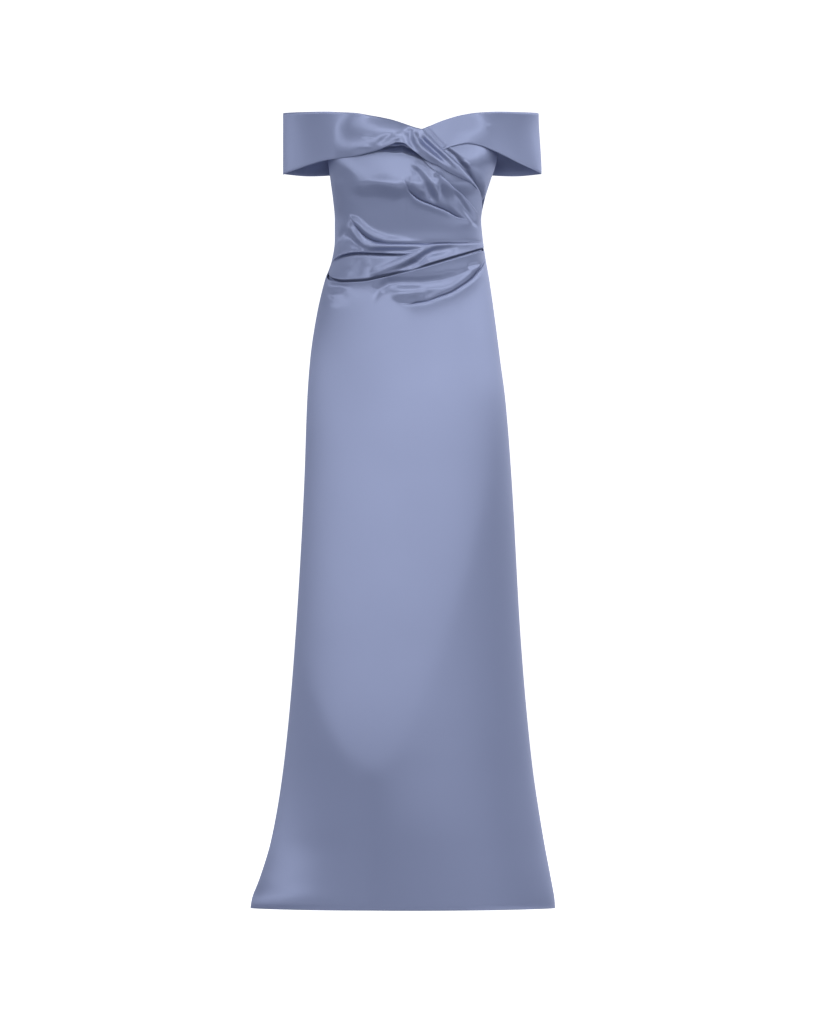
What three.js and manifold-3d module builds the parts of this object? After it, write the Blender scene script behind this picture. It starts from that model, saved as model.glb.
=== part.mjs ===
// A floor-length off-shoulder evening dress in satin, filled out as if worn, with nobody in it.
// The front is wrapped and pleated towards the wearer's left side seam, and the skirt is a plain column
// that flares at the hem. A wide folded band goes round over both arms and crosses the bust.
// Units are millimetres. +Z is up, the front faces -Y, and +X is the wearer's left.
import * as THREE from "three";
import Module from "manifold-3d";

const wasm = await Module();
wasm.setup();

// Driving sizes. Every height in the tables is above the hem, and the whole dress is then
// lowered by HOLD_HEIGHT, so that the origin is at the bust, where the wearer holds it up.
const HOLD_HEIGHT = 1270;
const WALL = 1.6;
const BAND_WALL = 2.2;
const SEAM_GAP = 0.4;
const WAIST_SEAM_HEIGHT = 1150;
const TUCK = 14; // how far a hidden edge runs on under the piece that covers it
const UNDER_LAYER = -2.8; // outer face of cloth that lies under another layer
const BAND_LAYER = 3; // outer face of the band, out from the bodice
const BAND_HALF_WIDTH = { right: 221, left: 224, leftAtEdge: 229 };
const ARM_LOOP_DEPTH = { front: 94, back: 88 };
const ARM_LOOP_POWER = 0.5;
const LOOP_BLEND = 10;

// The invisible figure's sections: half width on the wearer's right (-X) and left (+X), depth to
// the front and back, and how square the section is (2 is an ellipse).
const SECTIONS = [
  { height: 0, right: 278, left: 253, front: 157, back: 185, square: 2.0 },
  { height: 14, right: 276, left: 252, front: 157, back: 185, square: 2.0 },
  { height: 49, right: 263, left: 246, front: 157, back: 182, square: 2.02 },
  { height: 118, right: 242, left: 233, front: 157, back: 175, square: 2.05 },
  { height: 257, right: 219, left: 212, front: 154, back: 163, square: 2.1 },
  { height: 466, right: 200, left: 193, front: 142, back: 147, square: 2.15 },
  { height: 745, right: 184, left: 177, front: 123, back: 130, square: 2.2 },
  { height: 884, right: 179, left: 166, front: 113, back: 126, square: 2.25 },
  { height: 953, right: 174, left: 157, front: 107, back: 127, square: 2.3 },
  { height: 1023, right: 164, left: 148, front: 102, back: 121, square: 2.3 },
  { height: 1093, right: 148, left: 138, front: 97, back: 110, square: 2.3 },
  { height: 1127, right: 136, left: 132, front: 94, back: 100, square: 2.3 },
  { height: 1162, right: 131, left: 127, front: 91, back: 89, square: 2.3 },
  { height: 1197, right: 131, left: 124, front: 92, back: 81, square: 2.35 },
  { height: 1232, right: 134, left: 130, front: 103, back: 82, square: 2.5 },
  { height: 1262, right: 138, left: 139, front: 115, back: 88, square: 2.6 },
  { height: 1300, right: 143, left: 151, front: 112, back: 94, square: 2.7 },
  { height: 1345, right: 147, left: 156, front: 101, back: 94, square: 2.6 },
  { height: 1383, right: 149, left: 158, front: 90, back: 90, square: 2.5 },
];

// Lines across the front, as share of the half width (-1 is the right side seam, 1 the left) and
// height. The pleats all gather into the wearer's left side seam.
const WRAP_EDGE = [
  { across: -1, height: 1322 },
  { across: -0.7, height: 1335 },
  { across: -0.3, height: 1346 },
  { across: 0, height: 1346 },
  { across: 0.1, height: 1340 },
  { across: 0.227, height: 1322 },
  { across: 0.379, height: 1302 },
  { across: 0.495, height: 1290 },
  { across: 0.64, height: 1277 },
  { across: 0.748, height: 1266 },
  { across: 0.846, height: 1255 },
  { across: 0.922, height: 1243 },
  { across: 0.978, height: 1227 },
  { across: 1, height: 1214 },
];
const UPPER_PLEAT = [
  { across: -1, height: 1290 },
  { across: -0.5, height: 1318 },
  { across: -0.1, height: 1316 },
  { across: 0.05, height: 1308 },
  { across: 0.188, height: 1292 },
  { across: 0.3125, height: 1278 },
  { across: 0.429, height: 1267 },
  { across: 0.551, height: 1252 },
  { across: 0.682, height: 1240 },
  { across: 0.814, height: 1225 },
  { across: 0.906, height: 1214 },
  { across: 0.976, height: 1203 },
  { across: 1, height: 1197 },
];
const BUST_PLEAT = [
  { across: -1, height: 1240 },
  { across: -0.5, height: 1268 },
  { across: -0.2, height: 1271 },
  { across: -0.068, height: 1260 },
  { across: -0.009, height: 1244 },
  { across: 0.118, height: 1230 },
  { across: 0.312, height: 1220 },
  { across: 0.511, height: 1210 },
  { across: 0.652, height: 1201 },
  { across: 0.8, height: 1195 },
  { across: 0.908, height: 1189 },
  { across: 1, height: 1178 },
];
const WAIST_PLEAT = [
  { across: -1, height: 1214 },
  { across: -0.9, height: 1210 },
  { across: -0.8, height: 1199 },
  { across: -0.718, height: 1185 },
  { across: -0.649, height: 1173 },
  { across: -0.557, height: 1163 },
  { across: -0.412, height: 1156 },
  { across: -0.275, height: 1154 },
  { across: 0.244, height: 1154 },
  { across: 1, height: 1158 },
];
const HIP_LIP = [
  { across: -1, height: 1112 },
  { across: -0.989, height: 1122 },
  { across: -0.952, height: 1129 },
  { across: -0.843, height: 1136 },
  { across: -0.689, height: 1139 },
  { across: -0.494, height: 1138 },
  { across: -0.313, height: 1137 },
  { across: -0.127, height: 1136 },
  { across: 0.2, height: 1139 },
  { across: 0.6, height: 1146 },
  { across: 1, height: 1152 },
];
const SKIRT_RIM = [
  { across: -1, height: 1104 },
  { across: -0.982, height: 1097 },
  { across: -0.893, height: 1090 },
  { across: -0.778, height: 1087 },
  { across: -0.56, height: 1088 },
  { across: -0.342, height: 1094 },
  { across: -0.121, height: 1102 },
  { across: 0.113, height: 1110 },
  { across: 0.423, height: 1122 },
  { across: 0.741, height: 1134 },
  { across: 1, height: 1144 },
];
const SWAG_PLEAT = [
  { across: -1, height: 1062 },
  { across: -0.3, height: 1054 },
  { across: -0.12, height: 1050 },
  { across: -0.034, height: 1049 },
  { across: 0.097, height: 1051.5 },
  { across: 0.221, height: 1055 },
  { across: 0.355, height: 1062 },
  { across: 0.493, height: 1069 },
  { across: 0.629, height: 1080 },
  { across: 0.775, height: 1094 },
  { across: 0.878, height: 1108 },
  { across: 0.935, height: 1116 },
  { across: 1, height: 1129 },
];

// Pleats step the cloth out along a line. lip is the height of the folded edge, hollow the depth
// of the crease beside it, and each dies away over its reach. side 1 raises the cloth below the
// line and -1 the cloth above it. The pleat swells from start to full and dies from fade to end.
const BODICE_PLEATS = [
  { line: UPPER_PLEAT, side: 1, lip: 2.2, lipReach: 14, hollow: 1.2, hollowReach: 8, start: 0.12, full: 0.3, fade: 1.1, end: 1.2 },
  { line: BUST_PLEAT, side: 1, lip: 5, lipReach: 14, hollow: 4, hollowReach: 9, start: -0.09, full: 0.05, fade: 0.5, end: 0.85 },
  { line: WAIST_PLEAT, side: 1, lip: 3.5, lipReach: 8, hollow: 2.5, hollowReach: 8, start: -0.84, full: -0.6, fade: 0.15, end: 1.5 },
  { line: HIP_LIP, side: -1, lip: 3.5, lipReach: 12, hollow: 5, hollowReach: 16, start: -1.2, full: -0.95, fade: -0.3, end: 0.1 },
];
const SKIRT_PLEATS = [
  { line: SWAG_PLEAT, side: 1, lip: 5, lipReach: 26, hollow: 4, hollowReach: 12, start: -0.1, full: 0.06, fade: 0.9, end: 1.2 },
];

// Soft folds: ridges (height above 0) and troughs along a path of x and height points. Each swells
// over the first share of its path, grow, and dies away over the last, die, narrowing there too.
const BODICE_FOLDS = [
  { height: 5, spread: 8, grow: 0.3, die: 0.15, path: [[8, 1300], [15, 1285], [22, 1274], [30, 1265], [38, 1255], [44, 1245], [48, 1225]] },
  { height: -4, spread: 7, grow: 0.3, die: 0.15, path: [[-2, 1291], [8, 1281], [16, 1275], [25, 1264], [32, 1252], [37, 1240], [46, 1221]] },
  { height: -3, spread: 7, grow: 0.2, die: 0.4, path: [[44, 1278], [49, 1265], [53, 1250], [57, 1236], [64, 1222]] },
  { height: 3.5, spread: 9, grow: 0.3, die: 0.3, path: [[-4, 1270], [4, 1256], [14, 1246], [26, 1238]] },
  { height: 4, spread: 6, grow: 0.15, die: 0.5, path: [[-108, 1206], [-90, 1189], [-75, 1175], [-61, 1166], [-41, 1160], [2, 1157], [40, 1157]] },
  { height: 4, spread: 6, grow: 0.15, die: 0.4, path: [[-104, 1196], [-99, 1178], [-88, 1163], [-78, 1154], [-67, 1150], [0, 1149], [70, 1151]] },
  { height: -3, spread: 8, grow: 0.3, die: 0.3, path: [[-113, 1180], [-105, 1163], [-95, 1152], [-80, 1143]] },
  { height: 5, spread: 7, grow: 0.2, die: 0.25, path: [[-74, 1099], [-58, 1105], [-36, 1114], [-11, 1124], [14, 1137], [31, 1145], [45, 1150]] },
  { height: -5, spread: 7, grow: 0.25, die: 0.3, path: [[-38, 1102], [-5, 1113], [14, 1121], [26, 1134], [38, 1139], [70, 1146], [85, 1150]] },
];
const SKIRT_FOLDS = [
  { height: -5, spread: 9, grow: 0.25, die: 0.3, path: [[-66, 1045], [-54, 1074], [-36, 1085], [19, 1086], [57, 1091], [82, 1099], [118, 1116]] },
  { height: 4.5, spread: 13, grow: 0.3, die: 0.4, path: [[-36, 1062], [-14, 1069], [14, 1067], [34, 1066]] },
  { height: 3, spread: 8, grow: 0.3, die: 0.3, path: [[-143, 1062], [-135, 1066], [-122, 1068], [-106, 1069]] },
  { height: -2.5, spread: 6, grow: 0.2, die: 0.4, path: [[-146, 1077], [-137, 1079], [-120, 1080], [-98, 1079]] },
];
// A soft break across the skirt's front: above it the cloth slopes out from the hips, and below
// it the cloth hangs plumb. It is lowest at x and climbs to both sides.
const SKIRT_BREAK = { x: -70, height: 249, climb: 0.1615, power: 1.5, turn: 0.09, reach: 200, soft: 40 };
const BAND_FOLDS = [
  { height: 3.5, spread: 6, grow: 0.2, die: 0.4, path: [[4, 1352], [8, 1338], [13, 1327], [22, 1318], [36, 1307], [50, 1297], [64, 1287]] },
  { height: -4, spread: 5, grow: 0.25, die: 0.35, path: [[15, 1346], [19, 1336], [26, 1328], [46, 1311], [56, 1302], [66, 1294], [74, 1286]] },
  { height: 3.5, spread: 6, grow: 0.15, die: 0.3, path: [[23, 1347], [30, 1336], [42, 1324], [56, 1312], [71, 1299], [86, 1286], [104, 1264]] },
  { height: -3.5, spread: 6, grow: 0.2, die: 0.4, path: [[0, 1356], [-1, 1344], [2, 1332], [8, 1321], [18, 1311]] },
  { height: -3, spread: 5, grow: 0.25, die: 0.3, path: [[-30, 1342], [-40, 1336], [-48, 1330], [-58, 1324]] },
  { height: 2.5, spread: 6, grow: 0.3, die: 0.3, path: [[-26, 1346], [-22, 1338], [-20, 1331]] },
];
const LEFT_BAND_FOLDS = [
  { height: 3, spread: 6, grow: 0.2, die: 0.4, path: [[132, 1361], [139, 1358], [160, 1349], [186, 1337], [200, 1330]] },
  { height: -2, spread: 5, grow: 0.3, die: 0.3, path: [[140, 1370], [165, 1361], [195, 1349]] },
  { height: -2, spread: 5, grow: 0.3, die: 0.3, path: [[140, 1345], [165, 1336], [190, 1323]] },
];

// The band on the wearer's right runs over the bust, bends down at the centre and crosses to the
// left side seam. Its top and lower edges, from the arm to the tail's end, and how far each edge
// stands out from the bodice.
const CROSSING_BAND = [
  { topX: -221, topHeight: 1383, lowX: -221, lowHeight: 1276, topOut: 2.9, lowOut: 2.9 },
  { topX: -213, topHeight: 1383, lowX: -212, lowHeight: 1279, topOut: 2.9, lowOut: 2.9 },
  { topX: -198, topHeight: 1383, lowX: -196, lowHeight: 1284, topOut: 2.9, lowOut: 2.9 },
  { topX: -175, topHeight: 1383, lowX: -172, lowHeight: 1292, topOut: 2.9, lowOut: 2.9 },
  { topX: -148, topHeight: 1383, lowX: -144, lowHeight: 1299, topOut: 2.9, lowOut: 2.9 },
  { topX: -120, topHeight: 1382, lowX: -118, lowHeight: 1302, topOut: 2.9, lowOut: 2.9 },
  { topX: -96, topHeight: 1381, lowX: -94, lowHeight: 1305, topOut: 5, lowOut: 5 },
  { topX: -72, topHeight: 1377, lowX: -72, lowHeight: 1310, topOut: 6, lowOut: 7 },
  { topX: -50, topHeight: 1373, lowX: -52, lowHeight: 1316, topOut: 7, lowOut: 10 },
  { topX: -32, topHeight: 1369, lowX: -36, lowHeight: 1323, topOut: 8, lowOut: 14 },
  { topX: -16, topHeight: 1364, lowX: -22, lowHeight: 1328, topOut: 9, lowOut: 17 },
  { topX: -2, topHeight: 1359, lowX: -11, lowHeight: 1328, topOut: 9, lowOut: 17 },
  { topX: 10, topHeight: 1355, lowX: -2, lowHeight: 1324, topOut: 9, lowOut: 15 },
  { topX: 21, topHeight: 1352, lowX: 10, lowHeight: 1315, topOut: 9, lowOut: 13 },
  { topX: 36, topHeight: 1339, lowX: 24, lowHeight: 1305, topOut: 9, lowOut: 11 },
  { topX: 47, topHeight: 1327, lowX: 36, lowHeight: 1296, topOut: 9, lowOut: 10 },
  { topX: 58, topHeight: 1316, lowX: 48, lowHeight: 1288, topOut: 9, lowOut: 9 },
  { topX: 75, topHeight: 1301, lowX: 66, lowHeight: 1277, topOut: 8, lowOut: 8 },
  { topX: 93, topHeight: 1284, lowX: 86, lowHeight: 1267, topOut: 6, lowOut: 6 },
  { topX: 106, topHeight: 1269, lowX: 103, lowHeight: 1259, topOut: 5, lowOut: 5 },
  { topX: 113, topHeight: 1259, lowX: 111, lowHeight: 1253, topOut: 2.9, lowOut: 2.9 },
  { topX: 118, topHeight: 1251, lowX: 117, lowHeight: 1247, topOut: 2.9, lowOut: 2.9 },
];
// How far each band bulges halfway down its width, from the arms (0) in to the bust.
const BAND_BELLY = [
  { x: -200, out: 0 },
  { x: -130, out: 5 },
  { x: -60, out: 8 },
  { x: -20, out: 4 },
  { x: 10, out: 2 },
  { x: 60, out: 4 },
  { x: 120, out: 4 },
  { x: 200, out: 0 },
];
// The other band's edges on the front, as share of the band's half width.
const LEFT_BAND_TOP = [
  { across: 0, height: 1346 },
  { across: 0.12, height: 1355 },
  { across: 0.25, height: 1367 },
  { across: 0.4, height: 1377 },
  { across: 0.51, height: 1381 },
  { across: 0.71, height: 1383 },
  { across: 1, height: 1383 },
];
const LEFT_BAND_LOW = [
  { across: 0, height: 1290 },
  { across: 0.2, height: 1308 },
  { across: 0.275, height: 1318 },
  { across: 0.36, height: 1324 },
  { across: 0.446, height: 1327 },
  { across: 0.537, height: 1324 },
  { across: 0.628, height: 1316 },
  { across: 0.723, height: 1306 },
  { across: 0.821, height: 1295 },
  { across: 0.903, height: 1287 },
  { across: 0.963, height: 1281 },
  { across: 1, height: 1277 },
];
// Both bands' edges behind, from the arm (1) to the centre back (0).
const BACK_BAND_TOP = [
  { across: 0, height: 1354 },
  { across: 0.5, height: 1360 },
  { across: 0.8, height: 1374 },
  { across: 1, height: 1383 },
];
const BACK_BAND_LOW = [
  { across: 0, height: 1284 },
  { across: 0.5, height: 1278 },
  { across: 0.8, height: 1274 },
  { across: 1, height: 1277 },
];
const BACK_NECK = [
  { across: 0, height: 1342 },
  { across: 0.6, height: 1340 },
  { across: 1, height: 1322 },
];

// Zip: a concealed one down the centre back, with its slider at the top.
const ZIP = { low: 930, top: 1348, halfWidth: 11, wall: 0.8, behind: 1.1 };
const SLIDER = { width: 5, height: 9, thick: 1.8, earThick: 0.8, earGap: 2.6, earRise: 4.4, top: 1350 };
const PULL = { pinRadius: 0.6, eyeInner: 0.95, eyeOuter: 1.7, eyeWidth: 1.9, length: 17, width: 6.5, thick: 0.9 };

// A smooth curve through a table, without overshoot (monotone cubic).
function smoothAt(table, key, value, at) {
  const last = table.length - 1;
  if (at <= table[0][key]) return table[0][value];
  if (at >= table[last][key]) return table[last][value];
  let k = 0;
  while (at > table[k + 1][key]) k++;
  const step = (i) => table[i + 1][key] - table[i][key];
  const rise = (i) => (table[i + 1][value] - table[i][value]) / step(i);
  const slope = (i) => {
    if (i === 0) return rise(0);
    if (i === last) return rise(last - 1);
    const before = rise(i - 1);
    const after = rise(i);
    if (before * after <= 0) return 0;
    const w1 = 2 * step(i) + step(i - 1);
    const w2 = step(i) + 2 * step(i - 1);
    return (w1 + w2) / (w1 / before + w2 / after);
  };
  const h = step(k);
  const t = (at - table[k][key]) / h;
  const a = table[k][value];
  const b = table[k + 1][value];
  const t2 = t * t;
  const t3 = t2 * t;
  return (
    a * (2 * t3 - 3 * t2 + 1) +
    b * (3 * t2 - 2 * t3) +
    h * (slope(k) * (t3 - 2 * t2 + t) + slope(k + 1) * (t3 - t2))
  );
}

const lerp = (a, b, t) => a + (b - a) * t;
const softMax = (a, b, blend) => Math.max(a, b) + (Math.max(0, 1 - Math.abs(a - b) / blend) ** 2 * blend) / 4;
const heightAt = (line, across) => smoothAt(line, "across", "height", across);
const sectionAt = (height, value) => smoothAt(SECTIONS, "height", value, height);

function ease(from, to, x) {
  const t = Math.min(1, Math.max(0, (x - from) / (to - from)));
  return t * t * (3 - 2 * t);
}

function halfWidth(across, height) {
  return sectionAt(height, across < 0 ? "right" : "left");
}

// Depth of the figure at a share of its half width, as a part of its greatest depth.
function arch(across, square) {
  return Math.pow(Math.max(0, 1 - Math.pow(Math.min(1, Math.abs(across)), square)), 1 / square);
}

// turn is the place round the figure: 0 centre front, 1 the left side, 2 the centre back, and
// -1 the right side.
const acrossOf = (turn) => Math.sin((turn * Math.PI) / 2);

// Front and back meet at the side seams, and the two backs at the centre, with SEAM_GAP between.
function figurePoint(turn, height, front) {
  const across = acrossOf(turn);
  const depth = sectionAt(height, front ? "front" : "back") * arch(across, sectionAt(height, "square"));
  const y = depth + SEAM_GAP / 2;
  const apart = front ? 0 : (Math.sign(turn) * SEAM_GAP * (1 - Math.abs(across))) / 2;
  return new THREE.Vector3(across * halfWidth(across, height) + apart, front ? -y : y, height);
}

// Level direction square to the figure's section.
function figureNormal(turn, height, front) {
  const nudge = 1e-3;
  const edge = Math.min(Math.abs(Math.abs(turn) - 1), Math.abs(Math.abs(turn) - 2));
  if (edge < 1e-6) {
    return Math.abs(Math.abs(turn) - 1) < 1e-6
      ? new THREE.Vector3(Math.sign(turn), 0, 0)
      : new THREE.Vector3(0, 1, 0);
  }
  const along = figurePoint(turn + nudge, height, front).sub(figurePoint(turn - nudge, height, front));
  return new THREE.Vector3(along.y, -along.x, 0).normalize();
}

function onFigure(turn, height, front, out) {
  return figurePoint(turn, height, front).addScaledVector(figureNormal(turn, height, front), out);
}

// Height of a pleat's step at a point: how far the cloth moves out there.
function pleatRelief(pleats, across, height) {
  let out = 0;
  for (const p of pleats) {
    const nudge = 0.01;
    const run = 2 * nudge * halfWidth(across, height);
    const rise = heightAt(p.line, across + nudge) - heightAt(p.line, across - nudge);
    const below = ((heightAt(p.line, across) - height) * run) / Math.hypot(run, rise);
    const swell = ease(p.start, p.full, across) * (1 - ease(p.fade, p.end, across));
    const raised = below * p.side > 0;
    const far = Math.abs(below);
    out += swell * (raised ? p.lip * Math.exp(-far / p.lipReach) : -p.hollow * Math.exp(-far / p.hollowReach));
  }
  return out;
}

// Relief of the soft folds at x and height.
function foldRelief(folds, x, height) {
  let out = 0;
  for (const fold of folds) {
    const path = fold.path;
    let nearest = Infinity;
    let along = 0;
    for (let i = 0; i < path.length - 1; i++) {
      const dx = path[i + 1][0] - path[i][0];
      const dz = path[i + 1][1] - path[i][1];
      const raw = ((x - path[i][0]) * dx + (height - path[i][1]) * dz) / (dx * dx + dz * dz);
      const t = Math.min(1, Math.max(0, raw));
      const far = Math.hypot(x - path[i][0] - t * dx, height - path[i][1] - t * dz);
      if (far < nearest) {
        nearest = far;
        along = (i + t) / (path.length - 1);
      }
    }
    const swell = ease(0, fold.grow, along) * (1 - ease(1 - fold.die, 1, along));
    const spread = fold.spread * (0.5 + 0.5 * swell);
    out += fold.height * swell * Math.exp(-((nearest / spread) ** 2));
  }
  return out;
}

function breakRelief(x, height) {
  const aside = Math.abs(x - SKIRT_BREAK.x);
  const line = SKIRT_BREAK.height + SKIRT_BREAK.climb * aside ** SKIRT_BREAK.power;
  const slope = SKIRT_BREAK.climb * SKIRT_BREAK.power * aside ** (SKIRT_BREAK.power - 1);
  const below = (line - height) / Math.hypot(1, slope);
  const past = (below + Math.hypot(below, SKIRT_BREAK.soft)) / 2;
  return -SKIRT_BREAK.turn * SKIRT_BREAK.reach * (1 - Math.exp(-past / SKIRT_BREAK.reach));
}

// A wall of cloth: outer face through a grid of points, inner face set in along the surface's own
// normals, and a rim all round. Columns run towards +turn and rows run down. A seam at the first
// or last column lies in the plane square to the axis given for it.
function clothWall(grid, thickness, seams = {}) {
  const rows = grid.length;
  const columns = grid[0].length;
  const inner = grid.map((row, j) =>
    row.map((point, i) => {
      const right = row[Math.min(columns - 1, i + 1)];
      const left = row[Math.max(0, i - 1)];
      const below = grid[Math.min(rows - 1, j + 1)][i];
      const above = grid[Math.max(0, j - 1)][i];
      const down = new THREE.Vector3().subVectors(below, above);
      const side = new THREE.Vector3().subVectors(right, left);
      const outward = new THREE.Vector3().crossVectors(down, side);
      if (i === 0 && seams.first) outward[seams.first] = 0;
      if (i === columns - 1 && seams.last) outward[seams.last] = 0;
      return point.clone().addScaledVector(outward.normalize(), -thickness);
    }),
  );
  const points = [...grid.flat(), ...inner.flat()];
  const outerAt = (j, i) => j * columns + i;
  const innerAt = (j, i) => rows * columns + j * columns + i;
  const faces = [];
  const quad = (a, b, c, d) => faces.push(a, b, c, a, c, d);
  for (let j = 0; j < rows - 1; j++) {
    for (let i = 0; i < columns - 1; i++) {
      quad(outerAt(j, i), outerAt(j + 1, i), outerAt(j + 1, i + 1), outerAt(j, i + 1));
      quad(innerAt(j, i), innerAt(j, i + 1), innerAt(j + 1, i + 1), innerAt(j + 1, i));
    }
  }
  for (let i = 0; i < columns - 1; i++) {
    quad(outerAt(0, i), outerAt(0, i + 1), innerAt(0, i + 1), innerAt(0, i));
    quad(outerAt(rows - 1, i + 1), outerAt(rows - 1, i), innerAt(rows - 1, i), innerAt(rows - 1, i + 1));
  }
  for (let j = 0; j < rows - 1; j++) {
    quad(outerAt(j + 1, 0), outerAt(j, 0), innerAt(j, 0), innerAt(j + 1, 0));
    quad(outerAt(j, columns - 1), outerAt(j + 1, columns - 1), innerAt(j + 1, columns - 1), innerAt(j, columns - 1));
  }
  const positions = new Float32Array(points.flatMap((p) => [p.x, p.y, p.z]));
  const geometry = new THREE.BufferGeometry();
  geometry.setAttribute("position", new THREE.BufferAttribute(positions, 3));
  geometry.setIndex(faces);
  return geometry;
}

// Levels are functions from share of half width to height. steps evenly fills between two of them.
function levelsBetween(upper, lower, steps) {
  return Array.from({ length: steps }, (_, k) => (across) => lerp(upper(across), lower(across), (k + 1) / (steps + 1)));
}

const lineLevel = (line, shift = 0) => (across) => heightAt(line, across) + shift;
const flatLevel = (height) => () => height;
const PLEAT_HALF_STEP = 0.9;
const pleatLevels = (line) => [lineLevel(line, PLEAT_HALF_STEP), lineLevel(line, -PLEAT_HALF_STEP)];

function turnsBetween(from, to, steps) {
  return Array.from({ length: steps + 1 }, (_, k) => lerp(from, to, k / steps));
}

function panelGrid(turns, levels, front, outAt) {
  return levels.map((level) =>
    turns.map((turn) => {
      const across = acrossOf(turn);
      const height = level(across);
      return onFigure(turn, height, front, outAt(across, height));
    }),
  );
}

// Pleats stay off the side seams, where front and back have to meet.
const offSeam = (across) => 1 - Math.abs(across) ** 14;

function bodiceFront() {
  const rim = lineLevel(SKIRT_RIM);
  const levels = [
    lineLevel(WRAP_EDGE),
    ...levelsBetween(lineLevel(WRAP_EDGE), lineLevel(UPPER_PLEAT), 1),
    ...pleatLevels(UPPER_PLEAT),
    ...levelsBetween(lineLevel(UPPER_PLEAT), lineLevel(BUST_PLEAT), 3),
    ...pleatLevels(BUST_PLEAT),
    ...levelsBetween(lineLevel(BUST_PLEAT), lineLevel(WAIST_PLEAT), 4),
    ...pleatLevels(WAIST_PLEAT),
    ...levelsBetween(lineLevel(WAIST_PLEAT), lineLevel(HIP_LIP), 2),
    ...pleatLevels(HIP_LIP),
    ...levelsBetween(lineLevel(HIP_LIP), rim, 2),
    rim,
    lineLevel(SKIRT_RIM, -TUCK),
  ];
  const outAt = (across, height) => {
    const x = across * halfWidth(across, height);
    const relief = pleatRelief(BODICE_PLEATS, across, height) + foldRelief(BODICE_FOLDS, x, height);
    const shown = ease(1, 15, height - rim(across));
    const pressed = UNDER_LAYER + Math.min(0, foldRelief(SKIRT_FOLDS, x, height)) * offSeam(across);
    return lerp(pressed, relief * offSeam(across), shown);
  };
  return clothWall(panelGrid(turnsBetween(-1, 1, 38), levels, true, outAt), WALL, { first: "y", last: "y" });
}

// The left front, which shows only as a small triangle between the crossing and the left band.
function bodiceUnderFront() {
  const wrap = lineLevel(WRAP_EDGE);
  const levels = [
    (across) => Math.max(heightAt(BACK_NECK, across) + 4, wrap(across) + 3),
    ...levelsBetween((across) => Math.max(heightAt(BACK_NECK, across) + 4, wrap(across) + 3), wrap, 5),
    wrap,
    lineLevel(WRAP_EDGE, -TUCK),
  ];
  const outAt = (across, height) => lerp(UNDER_LAYER, 0, ease(4, 30, height - wrap(across)));
  return clothWall(panelGrid(turnsBetween(0.14, 1, 12), levels, true, outAt), WALL, { last: "y" });
}

const backSeams = (from) => (from < 0 ? { first: "x", last: "y" } : { first: "y", last: "x" });

function bodiceBack(from, to) {
  const seam = flatLevel(WAIST_SEAM_HEIGHT + SEAM_GAP / 2);
  const neck = (across) => heightAt(BACK_NECK, Math.abs(across));
  const levels = [neck, ...levelsBetween(neck, seam, 8), seam];
  return clothWall(panelGrid(turnsBetween(from, to, 16), levels, false, () => 0), WALL, backSeams(from));
}

function skirtFront() {
  const rim = lineLevel(SKIRT_RIM);
  const swag = lineLevel(SWAG_PLEAT);
  const levels = [
    rim,
    lineLevel(SKIRT_RIM, -5),
    ...levelsBetween(lineLevel(SKIRT_RIM, -5), swag, 3),
    ...pleatLevels(SWAG_PLEAT),
    ...levelsBetween(swag, flatLevel(980), 3),
    ...[980, 925, 860, 790, 710, 620, 530, 440, 355, 275, 205, 145, 95, 55, 25, 0].map(flatLevel),
  ];
  const outAt = (across, height) => {
    const x = across * halfWidth(across, height);
    const rimLift = 4.5 * Math.exp(-(rim(across) - height) / 16);
    const folds = pleatRelief(SKIRT_PLEATS, across, height) + foldRelief(SKIRT_FOLDS, x, height);
    return (rimLift + folds + breakRelief(x, height)) * offSeam(across);
  };
  return clothWall(panelGrid(turnsBetween(-1, 1, 30), levels, true, outAt), WALL, { first: "y", last: "y" });
}

function skirtBack(from, to) {
  const heights = [1105, 1060, 1010, 955, 890, 810, 720, 620, 520, 420, 325, 240, 165, 100, 50, 20, 0];
  const levels = [flatLevel(WAIST_SEAM_HEIGHT - SEAM_GAP / 2), ...heights.map(flatLevel)];
  return clothWall(panelGrid(turnsBetween(from, to, 12), levels, false, () => 0), WALL, backSeams(from));
}

// The band's half width at a height: it flares a little towards its lower edge on the left.
function bandHalfWidth(across, height) {
  if (across < 0) return BAND_HALF_WIDTH.right;
  return lerp(BAND_HALF_WIDTH.left, BAND_HALF_WIDTH.leftAtEdge, ease(1383, 1277, height));
}

// The band hugs the figure across the bust and back, and leaves it to go round the arms.
function bandPoint(x, height, front, out) {
  const share = x / bandHalfWidth(x, height);
  const bodyShare = x / halfWidth(x, height);
  const body =
    Math.abs(bodyShare) < 1
      ? sectionAt(height, front ? "front" : "back") * arch(bodyShare, sectionAt(height, "square")) + out
      : out - (Math.abs(bodyShare) - 1) * 200;
  const loopDepth = front ? ARM_LOOP_DEPTH.front : ARM_LOOP_DEPTH.back;
  const loop = loopDepth * Math.pow(Math.max(0, 1 - share * share), ARM_LOOP_POWER);
  const depth = softMax(body, loop, LOOP_BLEND);
  return new THREE.Vector3(x, front ? -depth : depth, height);
}

function bandBelly(x, step) {
  return smoothAt(BAND_BELLY, "x", "out", x) * Math.sin(Math.PI * step);
}

const BAND_STEPS = [1, 0.97, 0.86, 0.72, 0.58, 0.44, 0.3, 0.16, 0.04, 0];

// Columns of the band behind the wearer, from one arm to the centre back.
function backBandColumn(turn, step) {
  const across = Math.abs(acrossOf(turn));
  const height = lerp(heightAt(BACK_BAND_LOW, across), heightAt(BACK_BAND_TOP, across), step);
  const x = acrossOf(turn) * bandHalfWidth(turn, height);
  const seam = (Math.sign(turn) * SEAM_GAP) / 2;
  return bandPoint(x + seam * (1 - across), height, false, BAND_LAYER);
}

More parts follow.
